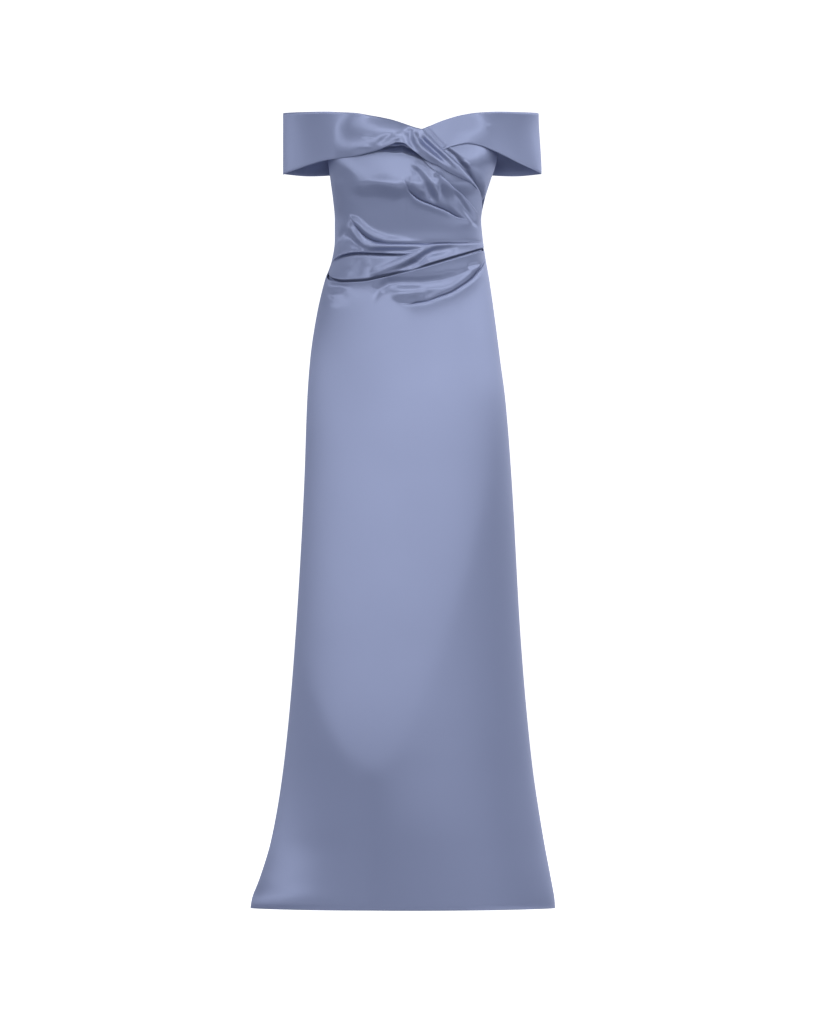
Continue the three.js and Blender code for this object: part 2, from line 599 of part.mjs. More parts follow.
function crossingBand() {
  const behind = turnsBetween(-2, -1, 18).slice(0, -1);
  const grid = BAND_STEPS.map((step) => [
    ...behind.map((turn) => backBandColumn(turn, step)),
    ...CROSSING_BAND.map((c) => {
      const x = lerp(c.lowX, c.topX, step);
      const height = lerp(c.lowHeight, c.topHeight, step);
      const out = lerp(c.lowOut, c.topOut, step) + bandBelly(x, step) + foldRelief(BAND_FOLDS, x, height);
      return bandPoint(x, height, true, out);
    }),
  ]);
  return clothWall(grid, BAND_WALL, { first: "x" });
}

function leftBand() {
  const behind = turnsBetween(1, 2, 18).slice(1);
  const grid = BAND_STEPS.map((step) => {
    const inner = lerp(0.13, 0.035, step);
    const front = turnsBetween(inner, 1, 16).map((turn) => {
      const across = acrossOf(turn);
      const height = lerp(heightAt(LEFT_BAND_LOW, across), heightAt(LEFT_BAND_TOP, across), step);
      const x = across * bandHalfWidth(across, height);
      const relief = bandBelly(x, step) * ease(50, 110, x) + foldRelief(LEFT_BAND_FOLDS, x, height);
      return bandPoint(x, height, true, BAND_LAYER + relief);
    });
    return [...front, ...behind.map((turn) => backBandColumn(turn, step))];
  });
  return clothWall(grid, BAND_WALL, { last: "x" });
}

// Zip tape on the inside of the centre back seam.
function zipTape() {
  const heights = [ZIP.top, 1310, 1270, 1230, 1190, 1150, 1110, 1060, 1000, ZIP.low];
  const grid = heights.map((height) =>
    [1, 0, -1].map((share) => {
      const x = share * ZIP.halfWidth;
      const across = x / halfWidth(x, height);
      const depth = sectionAt(height, "back") * arch(across, sectionAt(height, "square"));
      return new THREE.Vector3(x, depth - WALL - ZIP.behind, height);
    }),
  );
  return clothWall(grid, ZIP.wall);
}

const centreBack = (height) => bandPoint(0, height, false, BAND_LAYER).y;
const PIVOT_HEIGHT = SLIDER.top - SLIDER.height / 2;
const SLIDER_FACE = centreBack(PIVOT_HEIGHT) + 0.6;
const PIVOT_Y = SLIDER_FACE + SLIDER.thick + SLIDER.earRise / 2;

function solid(geometry) {
  const plain = geometry.index ? geometry.toNonIndexed() : geometry;
  const positions = plain.getAttribute("position");
  const seen = new Map();
  const points = [];
  const triangles = [];
  for (let i = 0; i < positions.count; i++) {
    const p = [positions.getX(i), positions.getY(i), positions.getZ(i)];
    const key = p.map((v) => Math.round(v * 1e4)).join();
    if (!seen.has(key)) {
      seen.set(key, points.length / 3);
      points.push(...p);
    }
    triangles.push(seen.get(key));
  }
  const mesh = new wasm.Mesh({
    numProp: 3,
    vertProperties: new Float32Array(points),
    triVerts: new Uint32Array(triangles),
  });
  return new wasm.Manifold(mesh);
}

function geometryOf(manifold) {
  const mesh = manifold.getMesh();
  const geometry = new THREE.BufferGeometry();
  geometry.setAttribute("position", new THREE.BufferAttribute(mesh.vertProperties, 3));
  geometry.setIndex(new THREE.BufferAttribute(mesh.triVerts, 1));
  return geometry;
}

// The slider's base, with two ears and the pin that the pull tab hangs on. Its own origin is the pin.
function zipSlider() {
  const base = new THREE.BoxGeometry(SLIDER.width, SLIDER.thick, SLIDER.height);
  base.translate(0, -SLIDER.earRise / 2 - SLIDER.thick / 2, 0);
  const pin = new THREE.CylinderGeometry(PULL.pinRadius, PULL.pinRadius, SLIDER.earGap + SLIDER.earThick, 16);
  pin.rotateZ(Math.PI / 2);
  let whole = solid(base).add(solid(pin));
  for (const side of [-1, 1]) {
    const ear = new THREE.BoxGeometry(SLIDER.earThick, SLIDER.earRise + 1, 3);
    ear.translate((side * (SLIDER.earGap + SLIDER.earThick)) / 2, -0.4, 0);
    whole = whole.add(solid(ear));
  }
  return geometryOf(whole);
}

// The pull tab hangs from the pin: an eye round the pin and a flat drop-shaped tab below it.
function zipPull() {
  const eye = new THREE.Shape().absarc(0, 0, PULL.eyeOuter, 0, Math.PI * 2);
  eye.holes.push(new THREE.Path().absarc(0, 0, PULL.eyeInner, 0, Math.PI * 2, true));
  const ring = new THREE.ExtrudeGeometry(eye, { depth: PULL.eyeWidth, bevelEnabled: false, curveSegments: 10 });
  ring.translate(0, 0, -PULL.eyeWidth / 2);
  ring.rotateY(Math.PI / 2);
  const drop = new THREE.Shape();
  const half = PULL.width / 2;
  drop.moveTo(-PULL.eyeWidth / 2, 0);
  drop.bezierCurveTo(-1, -5, -half, -8, -half, -PULL.length + half);
  drop.absarc(0, -PULL.length + half, half, Math.PI, Math.PI * 2);
  drop.bezierCurveTo(half, -8, 1, -5, PULL.eyeWidth / 2, 0);
  const tab = new THREE.ExtrudeGeometry(drop, { depth: PULL.thick, bevelEnabled: false, curveSegments: 8 });
  tab.translate(0, -PULL.eyeInner - 0.35, -PULL.thick / 2);
  tab.rotateX(Math.PI / 2);
  return geometryOf(solid(ring).add(solid(tab)));
}

const satin = new THREE.MeshStandardMaterial({ color: 0x8f9bbf, roughness: 0.38, metalness: 0 });
const tapeCloth = new THREE.MeshStandardMaterial({ color: 0x7f8bb0, roughness: 0.8, metalness: 0 });
const lacquer = new THREE.MeshStandardMaterial({ color: 0x8490b8, roughness: 0.3, metalness: 0.2 });

const dress = new THREE.Group();
dress.position.z = -HOLD_HEIGHT;

function sew(name, geometry, material) {
  const mesh = new THREE.Mesh(geometry, material);
  mesh.name = name;
  dress.add(mesh);
  return mesh;
}

sew("bodice_front", bodiceFront(), satin);
sew("bodice_under_front", bodiceUnderFront(), satin);
sew("bodice_back_left", bodiceBack(1, 2), satin);
sew("bodice_back_right", bodiceBack(-2, -1), satin);
sew("skirt_front", skirtFront(), satin);
sew("skirt_back_left", skirtBack(1, 2), satin);
sew("skirt_back_right", skirtBack(-2, -1), satin);
sew("band_right", crossingBand(), satin);
sew("band_left", leftBand(), satin);
sew("zip_tape", zipTape(), tapeCloth);
sew("zip_slider", zipSlider(), lacquer).position.set(0, PIVOT_Y, PIVOT_HEIGHT);
sew("zip_pull", zipPull(), lacquer).position.set(0, PIVOT_Y, PIVOT_HEIGHT);

export default dress;
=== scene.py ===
"""Looks of the off-shoulder satin dress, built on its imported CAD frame.

Sizes are in millimetres, with heights above the hem, until a mesh is made. The cloth pieces are thin
shells on the solids' own sections and lines, with finer pleats, rolled edges and creases.
"""
import math

import bpy
import numpy as np
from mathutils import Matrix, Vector


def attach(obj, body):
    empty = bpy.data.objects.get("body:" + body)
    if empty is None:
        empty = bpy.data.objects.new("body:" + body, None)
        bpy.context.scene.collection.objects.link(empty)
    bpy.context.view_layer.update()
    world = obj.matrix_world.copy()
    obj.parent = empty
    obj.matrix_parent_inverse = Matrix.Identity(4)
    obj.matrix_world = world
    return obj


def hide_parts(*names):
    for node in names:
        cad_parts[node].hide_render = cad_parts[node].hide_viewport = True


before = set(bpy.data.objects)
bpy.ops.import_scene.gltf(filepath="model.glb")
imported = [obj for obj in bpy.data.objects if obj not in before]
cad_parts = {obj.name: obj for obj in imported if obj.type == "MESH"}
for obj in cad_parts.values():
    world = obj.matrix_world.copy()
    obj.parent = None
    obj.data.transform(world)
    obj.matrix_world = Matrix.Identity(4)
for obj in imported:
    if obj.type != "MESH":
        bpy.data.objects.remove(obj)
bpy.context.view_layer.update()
scene = bpy.context.scene

# Driving sizes, as in the part's source. Heights are above the hem.
HOLD_HEIGHT = 1270
SEAM_GAP = 0.4
WAIST_SEAM_HEIGHT = 1150
HIP_HEIGHT = 960
TUCK = 14
UNDER_LAYER = -2.8
BAND_LAYER = 3
BAND_TOP = 1383
BAND_LOW = 1277
BAND_RIGHT_HALF = 221
BAND_LEFT_HALF = 224
BAND_LEFT_HALF_AT_EDGE = 229
LOOP_DEPTH_FRONT = 94
LOOP_DEPTH_BACK = 88
LOOP_POWER = 0.5
LOOP_BLEND = 10
SIDE_FALL = 200
ZIP_LOW = 930
ZIP_TOP = 1340

# Sizes of the scene's finer cloth.
CLOTH = 0.6
BAND_TURN = 2.0
# How far the bands' top and lower edges lean apart over the arms, and the x where that starts and is full.
BAND_LEAN = 18
LEAN_START = 90
LEAN_FULL = 165
LIP_ROUND = 2.5
# How far the cloth stands up under the skirt's rim, and over what distance that dies away.
RIM_LIFT = 4.5
RIM_REACH = 16
# The dip into a seam, its reach across a level seam, and its reach in turns beside an upright one.
SEAM_DIP = 0.8
SEAM_DIP_REACH = 2
SEAM_DIP_TURN = 0.012
# What is left of the gap at the centre back where the seam is sewn, below the zip.
SEWN_GAP = 0.04
SEWN_FADE = 20
HEM_ROUND = 2
HEM_TURN = 28
# Columns of the body pieces' grids.
BODICE_COLUMNS = 231
SKIRT_COLUMNS = 181
UNDER_COLUMNS = 80
BODICE_BACK_COLUMNS = 70
SKIRT_BACK_COLUMNS = 75

# Sizes of the zip's sewing. Depths are behind the cloth's outer face.
COIL_PITCH = 1.4
COIL_STEPS = 8
COIL_WIDE = 1.6
COIL_DEEP = 0.8
COIL_DEPTH = 5.4
COIL_RADIUS = 0.3
TAPE_DEPTH = 4.2
ZIP_STITCH = 8
STITCH_PITCH = 4
STITCH_RADIUS = 0.18

# The figure's sections: height, right half width, left half width, front depth, back depth, squareness.
SECTIONS = [
    (0, 278, 253, 157, 185, 2.0),
    (14, 276, 252, 157, 185, 2.0),
    (49, 263, 246, 157, 182, 2.02),
    (118, 242, 233, 157, 175, 2.05),
    (257, 219, 212, 154, 163, 2.1),
    (466, 200, 193, 142, 147, 2.15),
    (745, 184, 177, 123, 130, 2.2),
    (884, 179, 166, 113, 126, 2.25),
    (953, 174, 157, 107, 127, 2.3),
    (1023, 164, 148, 102, 121, 2.3),
    (1093, 148, 138, 97, 110, 2.3),
    (1127, 136, 132, 94, 100, 2.3),
    (1162, 131, 127, 91, 89, 2.3),
    (1197, 131, 124, 95, 81, 2.35),
    (1232, 134, 130, 103.5, 82, 2.5),
    (1262, 138, 139, 115, 88, 2.6),
    (1300, 143, 151, 112, 94, 2.7),
    (1345, 147, 156, 101, 94, 2.6),
    (1383, 149, 158, 90, 90, 2.5),
]

# Lines across the body: share of the half width, height.
WRAP_EDGE = [(-1, 1322), (-0.7, 1335), (-0.3, 1346), (0, 1346), (0.1, 1340), (0.227, 1322), (0.379, 1302),
             (0.495, 1290), (0.64, 1277), (0.748, 1266), (0.846, 1255), (0.922, 1243), (0.978, 1227),
             (1, 1214)]
UPPER_PLEAT = [(-1, 1290), (-0.5, 1318), (-0.1, 1316), (0.05, 1308), (0.188, 1292), (0.3125, 1278),
               (0.429, 1267), (0.551, 1252), (0.682, 1240), (0.814, 1225), (0.906, 1214), (0.976, 1203),
               (1, 1197)]
BUST_PLEAT = [(-1, 1240), (-0.5, 1268), (-0.2, 1271), (-0.068, 1260), (-0.009, 1244), (0.118, 1230),
              (0.312, 1220), (0.511, 1210), (0.652, 1201), (0.8, 1195), (0.908, 1189), (1, 1178)]
WAIST_PLEAT = [(-1, 1214), (-0.9, 1210), (-0.8, 1199), (-0.718, 1185), (-0.649, 1173), (-0.557, 1163),
               (-0.412, 1156), (-0.275, 1154), (0.244, 1154), (1, 1158)]
HIP_LIP = [(-1, 1112), (-0.989, 1122), (-0.952, 1129), (-0.843, 1136), (-0.689, 1139), (-0.494, 1138),
           (-0.313, 1137), (-0.127, 1136), (0.2, 1139), (0.6, 1146), (1, 1152)]
SKIRT_RIM = [(-1, 1104), (-0.982, 1097), (-0.893, 1090), (-0.778, 1087), (-0.56, 1088), (-0.342, 1094),
             (-0.121, 1102), (0.113, 1110), (0.423, 1122), (0.741, 1134), (1, 1144)]
SWAG_PLEAT = [(-1, 1062), (-0.3, 1054), (-0.12, 1050), (-0.034, 1049), (0.097, 1051.5), (0.221, 1055),
              (0.355, 1062), (0.493, 1069), (0.629, 1080), (0.775, 1094), (0.878, 1108), (0.935, 1116),
              (1, 1129)]

# The crossing band: top x, top height, lower x, lower height, top out, lower out.
CROSSING_BAND = [
    (-221, 1383, -221, 1276, 2.9, 2.9),
    (-213, 1383, -212, 1279, 2.9, 2.9),
    (-198, 1383, -196, 1284, 2.9, 2.9),
    (-175, 1383, -172, 1292, 2.9, 2.9),
    (-148, 1383, -144, 1299, 2.9, 2.9),
    (-120, 1382, -118, 1302, 2.9, 2.9),
    (-96, 1381, -94, 1305, 5, 5),
    (-72, 1377, -72, 1310, 6, 7),
    (-50, 1373, -52, 1316, 7, 10),
    (-32, 1369, -36, 1323, 8, 14),
    (-16, 1364, -22, 1328, 9, 17),
    (-2, 1359, -11, 1327, 9, 17),
    (10, 1355, -3, 1322, 9, 15),
    (21, 1352, 9, 1312, 9, 13),
    (36, 1339, 23, 1301, 9, 11),
    (47, 1327, 36, 1293, 9, 10),
    (58, 1316, 48, 1288, 9, 9),
    (75, 1301, 66, 1277, 8, 8),
    (93, 1284, 86, 1267, 6, 6),
    (106, 1269, 103, 1259, 5, 5),
    (113, 1259, 111, 1253, 2.9, 2.9),
    (118, 1251, 117, 1247, 2.9, 2.9),
]
# x, bulge halfway down the band.
BAND_BELLY = [(-200, 0), (-130, 6), (-60, 11), (-20, 5), (10, 2), (60, 4), (120, 4), (200, 0)]
LEFT_BAND_TOP = [(0, 1346), (0.12, 1355), (0.25, 1367), (0.4, 1377), (0.51, 1381), (0.71, 1383), (1, 1383)]
LEFT_BAND_LOW = [(0, 1290), (0.2, 1308), (0.275, 1318), (0.36, 1324), (0.446, 1327), (0.537, 1324),
                 (0.628, 1316), (0.723, 1306), (0.821, 1295), (0.903, 1287), (0.963, 1281), (1, 1277)]
BACK_BAND_TOP = [(0, 1354), (0.5, 1360), (0.8, 1374), (1, 1383)]
BACK_BAND_LOW = [(0, 1284), (0.5, 1278), (0.8, 1274), (1, 1277)]
BACK_NECK = [(0, 1342), (0.6, 1340), (1, 1322)]

# The soft break across the skirt's front, where the light falls off. Its line is lowest at BREAK_X and
# climbs to both sides, and below it the cloth turns in until BREAK_REACH lies behind it.
BREAK_X = -70
BREAK_HEIGHT = 240
BREAK_CLIMB = 0.19
BREAK_POWER = 1.5
BREAK_ROUND = 22
BREAK_TURN = 0.11
BREAK_REACH = 200
BREAK_SOFT = 14

# Folds: height of the ridge, spread, shares of the path over which it grows and dies, and the path as
# (x, height above the hem).
BODICE_FOLDS = [
    (5, 8, 0.3, 0.15, [(8, 1300), (15, 1285), (22, 1274), (30, 1265), (38, 1255), (44, 1245), (48, 1225)]),
    (-5.5, 7, 0.3, 0.15, [(-2, 1291), (8, 1281), (16, 1275), (25, 1264),
                          (32, 1252), (37, 1240), (46, 1221)]),
    (-4, 7, 0.2, 0.4, [(44, 1278), (49, 1265), (53, 1250), (57, 1236), (64, 1222)]),
    (3.5, 9, 0.3, 0.3, [(-4, 1270), (4, 1256), (14, 1246), (26, 1238)]),
    (5, 6, 0.15, 0.5, [(-108, 1206), (-90, 1189), (-75, 1175), (-61, 1166),
                       (-41, 1160), (2, 1157), (40, 1157)]),
    (5, 6, 0.15, 0.4, [(-104, 1196), (-99, 1178), (-88, 1163), (-78, 1154),
                       (-67, 1150), (0, 1149), (70, 1151)]),
    (-3, 8, 0.3, 0.3, [(-113, 1180), (-105, 1163), (-95, 1152), (-80, 1143)]),
    (5, 7, 0.2, 0.25, [(-74, 1099), (-58, 1105), (-36, 1114), (-11, 1124),
                       (14, 1137), (31, 1145), (45, 1150)]),
    (-6, 8, 0.25, 0.3, [(-38, 1102), (-5, 1113), (14, 1121), (26, 1134),
                        (38, 1139), (70, 1146), (85, 1150)]),
    (-1.8, 5, 0.3, 0.2, [(72, 1250), (84, 1233), (96, 1214), (108, 1197), (119, 1181)]),
    (1.8, 7, 0.3, 0.4, [(64, 1226), (78, 1213), (96, 1199), (112, 1187)]),
    (1.5, 9, 0.5, 0.5, [(-108, 1096), (-105, 1106), (-102, 1118), (-98, 1130)]),
    (-1.2, 7, 0.5, 0.5, [(-91, 1094), (-89, 1106), (-88, 1119), (-87, 1130)]),
    (1.3, 8, 0.5, 0.5, [(-76, 1096), (-74, 1108), (-73, 1120), (-72, 1130)]),
    (1, 3, 0.3, 0.3, [(-105, 1144), (-98, 1146), (-90, 1148)]),
    (-3.5, 5, 0.3, 0.5, [(-84, 1141), (-50, 1140), (-10, 1141), (34, 1146)]),
    (3.5, 14, 0.5, 0.3, [(-80, 1265), (-52, 1260), (-26, 1250), (-4, 1238)]),
    (-2.5, 30, 0.5, 0.5, [(-132, 1248), (-114, 1262), (-96, 1277)]),
    (-14, 7, 0.4, 0.4, [(-62, 1318), (-38, 1322), (-12, 1324), (10, 1314), (30, 1297)]),
    (-1.8, 5, 0.3, 0.4, [(-127, 1154), (-122, 1164), (-117, 1174), (-112, 1186)]),
    (-1, 3, 0.2, 0.4, [(104, 1112), (112, 1116), (124, 1119)]),
]
SKIRT_FOLDS = [
    (-5, 9, 0.25, 0.3, [(-66, 1045), (-54, 1074), (-36, 1085), (19, 1086),
                        (57, 1091), (82, 1099), (118, 1116)]),
    (4.5, 13, 0.3, 0.4, [(-36, 1062), (-14, 1069), (14, 1067), (34, 1066)]),
    (2, 9, 0.5, 0.4, [(-143, 1062), (-135, 1066), (-122, 1068), (-106, 1069)]),
    (-1.5, 8, 0.4, 0.4, [(-146, 1077), (-137, 1079), (-120, 1080), (-98, 1079)]),
    (0.8, 8, 0.4, 0.4, [(-142, 1048), (-128, 1054), (-112, 1060), (-102, 1066)]),
    (-2, 4, 0.3, 0.3, [(98, 1114), (108, 1117), (126, 1121)]),
    (-2.5, 9, 0.4, 0.5, [(-12, 1056), (8, 1060), (34, 1067), (58, 1078)]),
]
BAND_FOLDS = [
    (5, 7, 0.2, 0.4, [(4, 1352), (8, 1338), (13, 1327), (22, 1318), (36, 1307), (50, 1297), (64, 1287)]),
    (-5, 6, 0.3, 0.4, [(15, 1346), (19, 1336), (26, 1328), (46, 1311), (56, 1302), (66, 1294), (74, 1286)]),
    (4.5, 6, 0.15, 0.3, [(23, 1347), (30, 1336), (42, 1324), (56, 1312),
                         (71, 1299), (86, 1286), (104, 1264)]),
    (-5, 7, 0.2, 0.4, [(0, 1356), (-1, 1344), (2, 1332), (8, 1321), (18, 1311)]),
    (-2.2, 6, 0.4, 0.4, [(-28, 1344), (-40, 1337), (-50, 1330), (-60, 1324)]),
    (1.5, 7, 0.4, 0.4, [(-27, 1347), (-22, 1338), (-19, 1331)]),
    (0.8, 3, 0.3, 0.4, [(-92, 1321), (-78, 1321), (-62, 1319)]),
    (0.8, 3, 0.3, 0.4, [(-88, 1341), (-72, 1339), (-58, 1336)]),
]
LEFT_BAND_FOLDS = [
    (3, 6, 0.2, 0.4, [(132, 1361), (139, 1358), (160, 1349), (186, 1337), (200, 1330)]),
    (-2, 5, 0.3, 0.3, [(140, 1370), (165, 1361), (195, 1349)]),
    (-2, 5, 0.3, 0.3, [(140, 1345), (165, 1336), (190, 1323)]),
    (-3.5, 4, 0.1, 0.1, [(8, 1363), (24, 1357), (38, 1343), (50, 1330), (62, 1318)]),
]
UNDER_FOLDS = [
    (-3.5, 4, 0.1, 0.1, [(60, 1320), (80, 1304), (101, 1278), (116, 1256), (126, 1238), (129, 1218)]),
    (1.2, 2.5, 0.3, 0.3, [(90, 1299), (99, 1293), (108, 1284)]),
    (-1.2, 2.5, 0.3, 0.3, [(88, 1294), (97, 1288), (105, 1280)]),
]

BODICE_BACK_FOLDS = [
    (2, 7, 0.4, 0.5, [(131, 1190), (105, 1185), (80, 1183), (48, 1186)]),
    (-2, 6, 0.4, 0.5, [(129, 1174), (100, 1170), (72, 1171)]),
    (1.5, 5, 0.4, 0.5, [(128, 1218), (98, 1207), (74, 1203)]),
    (1.8, 6, 0.4, 0.5, [(-130, 1188), (-98, 1182), (-62, 1184)]),
    (-2, 7, 0.4, 0.5, [(-129, 1171), (-92, 1167), (-50, 1170)]),
    (-1.5, 8, 0.5, 0.5, [(-62, 1246), (-55, 1218), (-50, 1196)]),
    (1.5, 8, 0.5, 0.5, [(42, 1240), (48, 1214), (52, 1192)]),
]
SKIRT_BACK_FOLDS = [
    (2.5, 8, 0.4, 0.5, [(133, 1128), (102, 1117), (66, 1113), (40, 1116)]),
    (-2.5, 7, 0.4, 0.5, [(137, 1108), (106, 1099), (78, 1097)]),
    (2, 8, 0.4, 0.5, [(-139, 1106), (-108, 1101), (-70, 1106)]),
    (-2, 7, 0.4, 0.5, [(-142, 1088), (-112, 1085), (-84, 1088)]),
    (3, 22, 0.7, 0.05, [(96, 760), (110, 420), (128, 0)]),
    (-4, 26, 0.7, 0.05, [(52, 700), (58, 380), (66, 0)]),
    (3.5, 24, 0.7, 0.05, [(-74, 720), (-88, 400), (-104, 0)]),
    (-3, 22, 0.7, 0.05, [(-128, 640), (-150, 330), (-176, 0)]),
]
BACK_BAND_FOLDS = [
    (1.5, 6, 0.4, 0.5, [(176, 1352), (140, 1343), (96, 1338)]),
    (-1.8, 6, 0.4, 0.5, [(168, 1330), (132, 1320), (84, 1318)]),
    (1.8, 7, 0.4, 0.5, [(-172, 1340), (-128, 1330), (-70, 1330)]),
    (-1.5, 6, 0.4, 0.5, [(-160, 1312), (-118, 1306), (-64, 1308)]),
]


def smooth_curve(points):
    """A curve through (at, value) points without overshoot, level beyond both ends."""
    at = np.array([p[0] for p in points], float)
    value = np.array([p[1] for p in points], float)
    step = np.diff(at)
    rise = np.diff(value) / step
    slope = np.zeros(len(at))
    slope[0] = rise[0]
    slope[-1] = rise[-1]
    for i in range(1, len(at) - 1):
        if rise[i - 1] * rise[i] > 0:
            w1 = 2 * step[i] + step[i - 1]
            w2 = step[i] + 2 * step[i - 1]
            slope[i] = (w1 + w2) / (w1 / rise[i - 1] + w2 / rise[i])

    def curve(x):
        x = np.clip(x, at[0], at[-1])
        k = np.clip(np.searchsorted(at, x, side="right") - 1, 0, len(step) - 1)
        t = (x - at[k]) / step[k]
        t2 = t * t
        t3 = t2 * t
        ends = value[k] * (2 * t3 - 3 * t2 + 1) + value[k + 1] * (3 * t2 - 2 * t3)
        return ends + step[k] * (slope[k] * (t3 - 2 * t2 + t) + slope[k + 1] * (t3 - t2))

    return curve


def column(table, key, value):
    return smooth_curve([(row[key], row[value]) for row in table])


RIGHT_HALF, LEFT_HALF, FRONT_DEPTH, BACK_DEPTH, SQUARE = [column(SECTIONS, 0, k) for k in range(1, 6)]
wrap_edge, upper_pleat, bust_pleat, waist_pleat, hip_lip, skirt_rim, swag_pleat = [
    smooth_curve(points)
    for points in (WRAP_EDGE, UPPER_PLEAT, BUST_PLEAT, WAIST_PLEAT, HIP_LIP, SKIRT_RIM, SWAG_PLEAT)
]
left_band_top, left_band_low, back_band_top, back_band_low, back_neck, belly_curve = [
    smooth_curve(points)
    for points in (LEFT_BAND_TOP, LEFT_BAND_LOW, BACK_BAND_TOP, BACK_BAND_LOW, BACK_NECK, BAND_BELLY)
]

# Side 1 lays the cloth below the line over the cloth above it, and -1 the other way round.
PLEAT_KEYS = ("line", "side", "lip", "lip_reach", "hollow", "hollow_reach", "start", "full", "fade", "end")
UPPER, BUST, WAIST, HIP, SWAG = [
    dict(zip(PLEAT_KEYS, row))
    for row in [
        (upper_pleat, 1, 2.2, 14, 1.2, 8, 0.12, 0.3, 1.1, 1.2),
        (bust_pleat, 1, 5, 8, 3.5, 5, -0.12, 0.08, 0.5, 0.85),
        (waist_pleat, 1, 4.5, 8, 3, 5, -0.84, -0.6, 0.3, 1.6),
        (hip_lip, -1, 3, 8, 6.5, 11, -1.2, -0.95, -0.3, 0.1),
        (swag_pleat, 1, 3.5, 12, 4, 6, -0.12, 0.12, 0.9, 1.2),
    ]
]
# A pleat's own rows: place across the line when flat and when folded, whether the row lies on the
# hollow side (0) or on the lip (1), and its shift out from there.
FOLD_ROWS = [
    (-3.0, -2.6, 0, 0),
    (-2.2, -0.6, 0, 0),
    (-1.5, 1.6, 0, -0.1),
    (-0.9, 3.2, 0, 0),
    (-0.5, 3.9, 0, 0.7),
    (-0.2, 3.4, 0, 1.4),
    (0.1, 1.8, 1, -1.7),
    (0.4, 0.5, 1, -1.35),
    (0.7, -0.1, 1, -0.75),
    (1.0, 0.15, 1, -0.2),
    (1.4, 0.9, 1, 0),
    (2.0, 1.9, 1, 0),
    (3.0, 3.0, 1, 0),
]
# A folded free edge: place below the edge, and shift out from the outer face.
ROLL_ROWS = [(9, -1.9), (5, -1.8), (2, -1.7), (0.7, -1.45), (0.1, -0.95), (0, -0.5), (0.35, -0.12), (1.2, 0)]


def ease(start, end, x):
    t = np.clip((x - start) / (end - start), 0, 1)
    return t * t * (3 - 2 * t)


def lerp(a, b, t):
    return a + (b - a) * t


def arch(across, square):
    """A section's depth as a share of its full depth. At square 2 it is an ellipse, and boxier above."""
    share = np.minimum(1, np.abs(across))
    return np.power(np.maximum(0, 1 - np.power(share, square)), 1 / square)


def half_width(across, height):
    return np.where(across < 0, RIGHT_HALF(height), LEFT_HALF(height))


def across_of(turn):
    return np.sin(np.asarray(turn, float) * math.pi / 2)


def figure(turn, height, front):
    """Points on the invisible figure. turn is 0 at the centre front, 1 left, 2 centre back, -1 right.

    The two sides of the back stay apart for the zip, and nearly meet where the seam is sewn.
    """
    across = across_of(turn)
    depth = (FRONT_DEPTH if front else BACK_DEPTH)(height) * arch(across, SQUARE(height))
    y = depth + SEAM_GAP / 2
    gap = lerp(SEWN_GAP, SEAM_GAP, ease(ZIP_LOW, ZIP_LOW + SEWN_FADE, height))
    apart = 0 if front else np.sign(turn) * gap * (1 - np.abs(across)) / 2
    x = across * half_width(across, height) + apart
    return np.stack([x, -y if front else y, height + 0 * x], -1)


def on_figure(turn, height, front, out):
    """Points that lie out from the figure, straight out at the sides and at the centre back."""
    nudge = 1e-3
    close = 1e-6
    turn = np.asarray(turn, float) + 0 * height
    low, high = (-1, 1) if front else ((1, 2) if turn.mean() > 0 else (-2, -1))
    inner = np.clip(turn, low + 2 * nudge, high - 2 * nudge)
    along = figure(inner + nudge, height, front) - figure(inner - nudge, height, front)
    normal = np.stack([along[..., 1], -along[..., 0], 0 * along[..., 0]], -1)
    at_side = (np.abs(np.abs(turn) - 1) < close)[..., None]
    at_back = (np.abs(np.abs(turn) - 2) < close)[..., None]
    side = np.stack([np.sign(turn), 0 * turn, 0 * turn], -1)
    back = np.stack([0 * turn, 1 + 0 * turn, 0 * turn], -1)
    normal = np.where(at_side, side, np.where(at_back, back, normal))
    normal = normal / np.linalg.norm(normal, axis=-1, keepdims=True)
    return figure(turn, height, front) + normal * np.asarray(out)[..., None]


def off_seam(across):
    """Folds and pleats flatten out at the side seams."""
    return 1 - np.abs(across) ** 14


def stretch_of(line, across, height):
    """How much longer a level step is along a slanted line."""
    nudge = 0.01
    run = 2 * nudge * half_width(across, height)
    return np.hypot(run, line(across + nudge) - line(across - nudge)) / run


def swell_of(pleat, across):
    """How much of a pleat is there, from 0 to 1, where it starts and fades."""
    grow = ease(pleat["start"], pleat["full"], across)
    return grow * (1 - ease(pleat["fade"], pleat["end"], across)) * off_seam(across)


def lip_relief(pleat, far):
    """A lip is pressed at its fold, stands up behind it and dies away."""
    return pleat["lip"] * (1 - np.exp(-far / LIP_ROUND)) * np.exp(-far / pleat["lip_reach"])


def pleat_relief(pleat, across, height):
    line = pleat["line"]
    below = (line(across) - height) / stretch_of(line, across, height)
    far = np.abs(below)
    raised = below * pleat["side"] > 0
    lip = lip_relief(pleat, far)
    hollow = -pleat["hollow"] * np.exp(-far / pleat["hollow_reach"])
    return swell_of(pleat, across) * np.where(raised, lip, hollow)


def pleat_rows(pleat, across):
    """Heights and reliefs of the rows that fold a pleat over, from above to below."""
    rows = []
    line = pleat["line"]
    side = pleat["side"]
    swell = swell_of(pleat, across)
    longer = stretch_of(line, across, line(across))
    for flat, folded, on_lip, shift in FOLD_ROWS[:: side]:
        place = lerp(flat, folded, swell ** 1.5)
        if on_lip:
            out = lip_relief(pleat, np.abs(folded)) + shift
        else:
            out = -pleat["hollow"] * np.exp(-max(0, -folded) / pleat["hollow_reach"]) + shift
        rows.append((line(across) - side * place * longer, swell * out))
    return rows


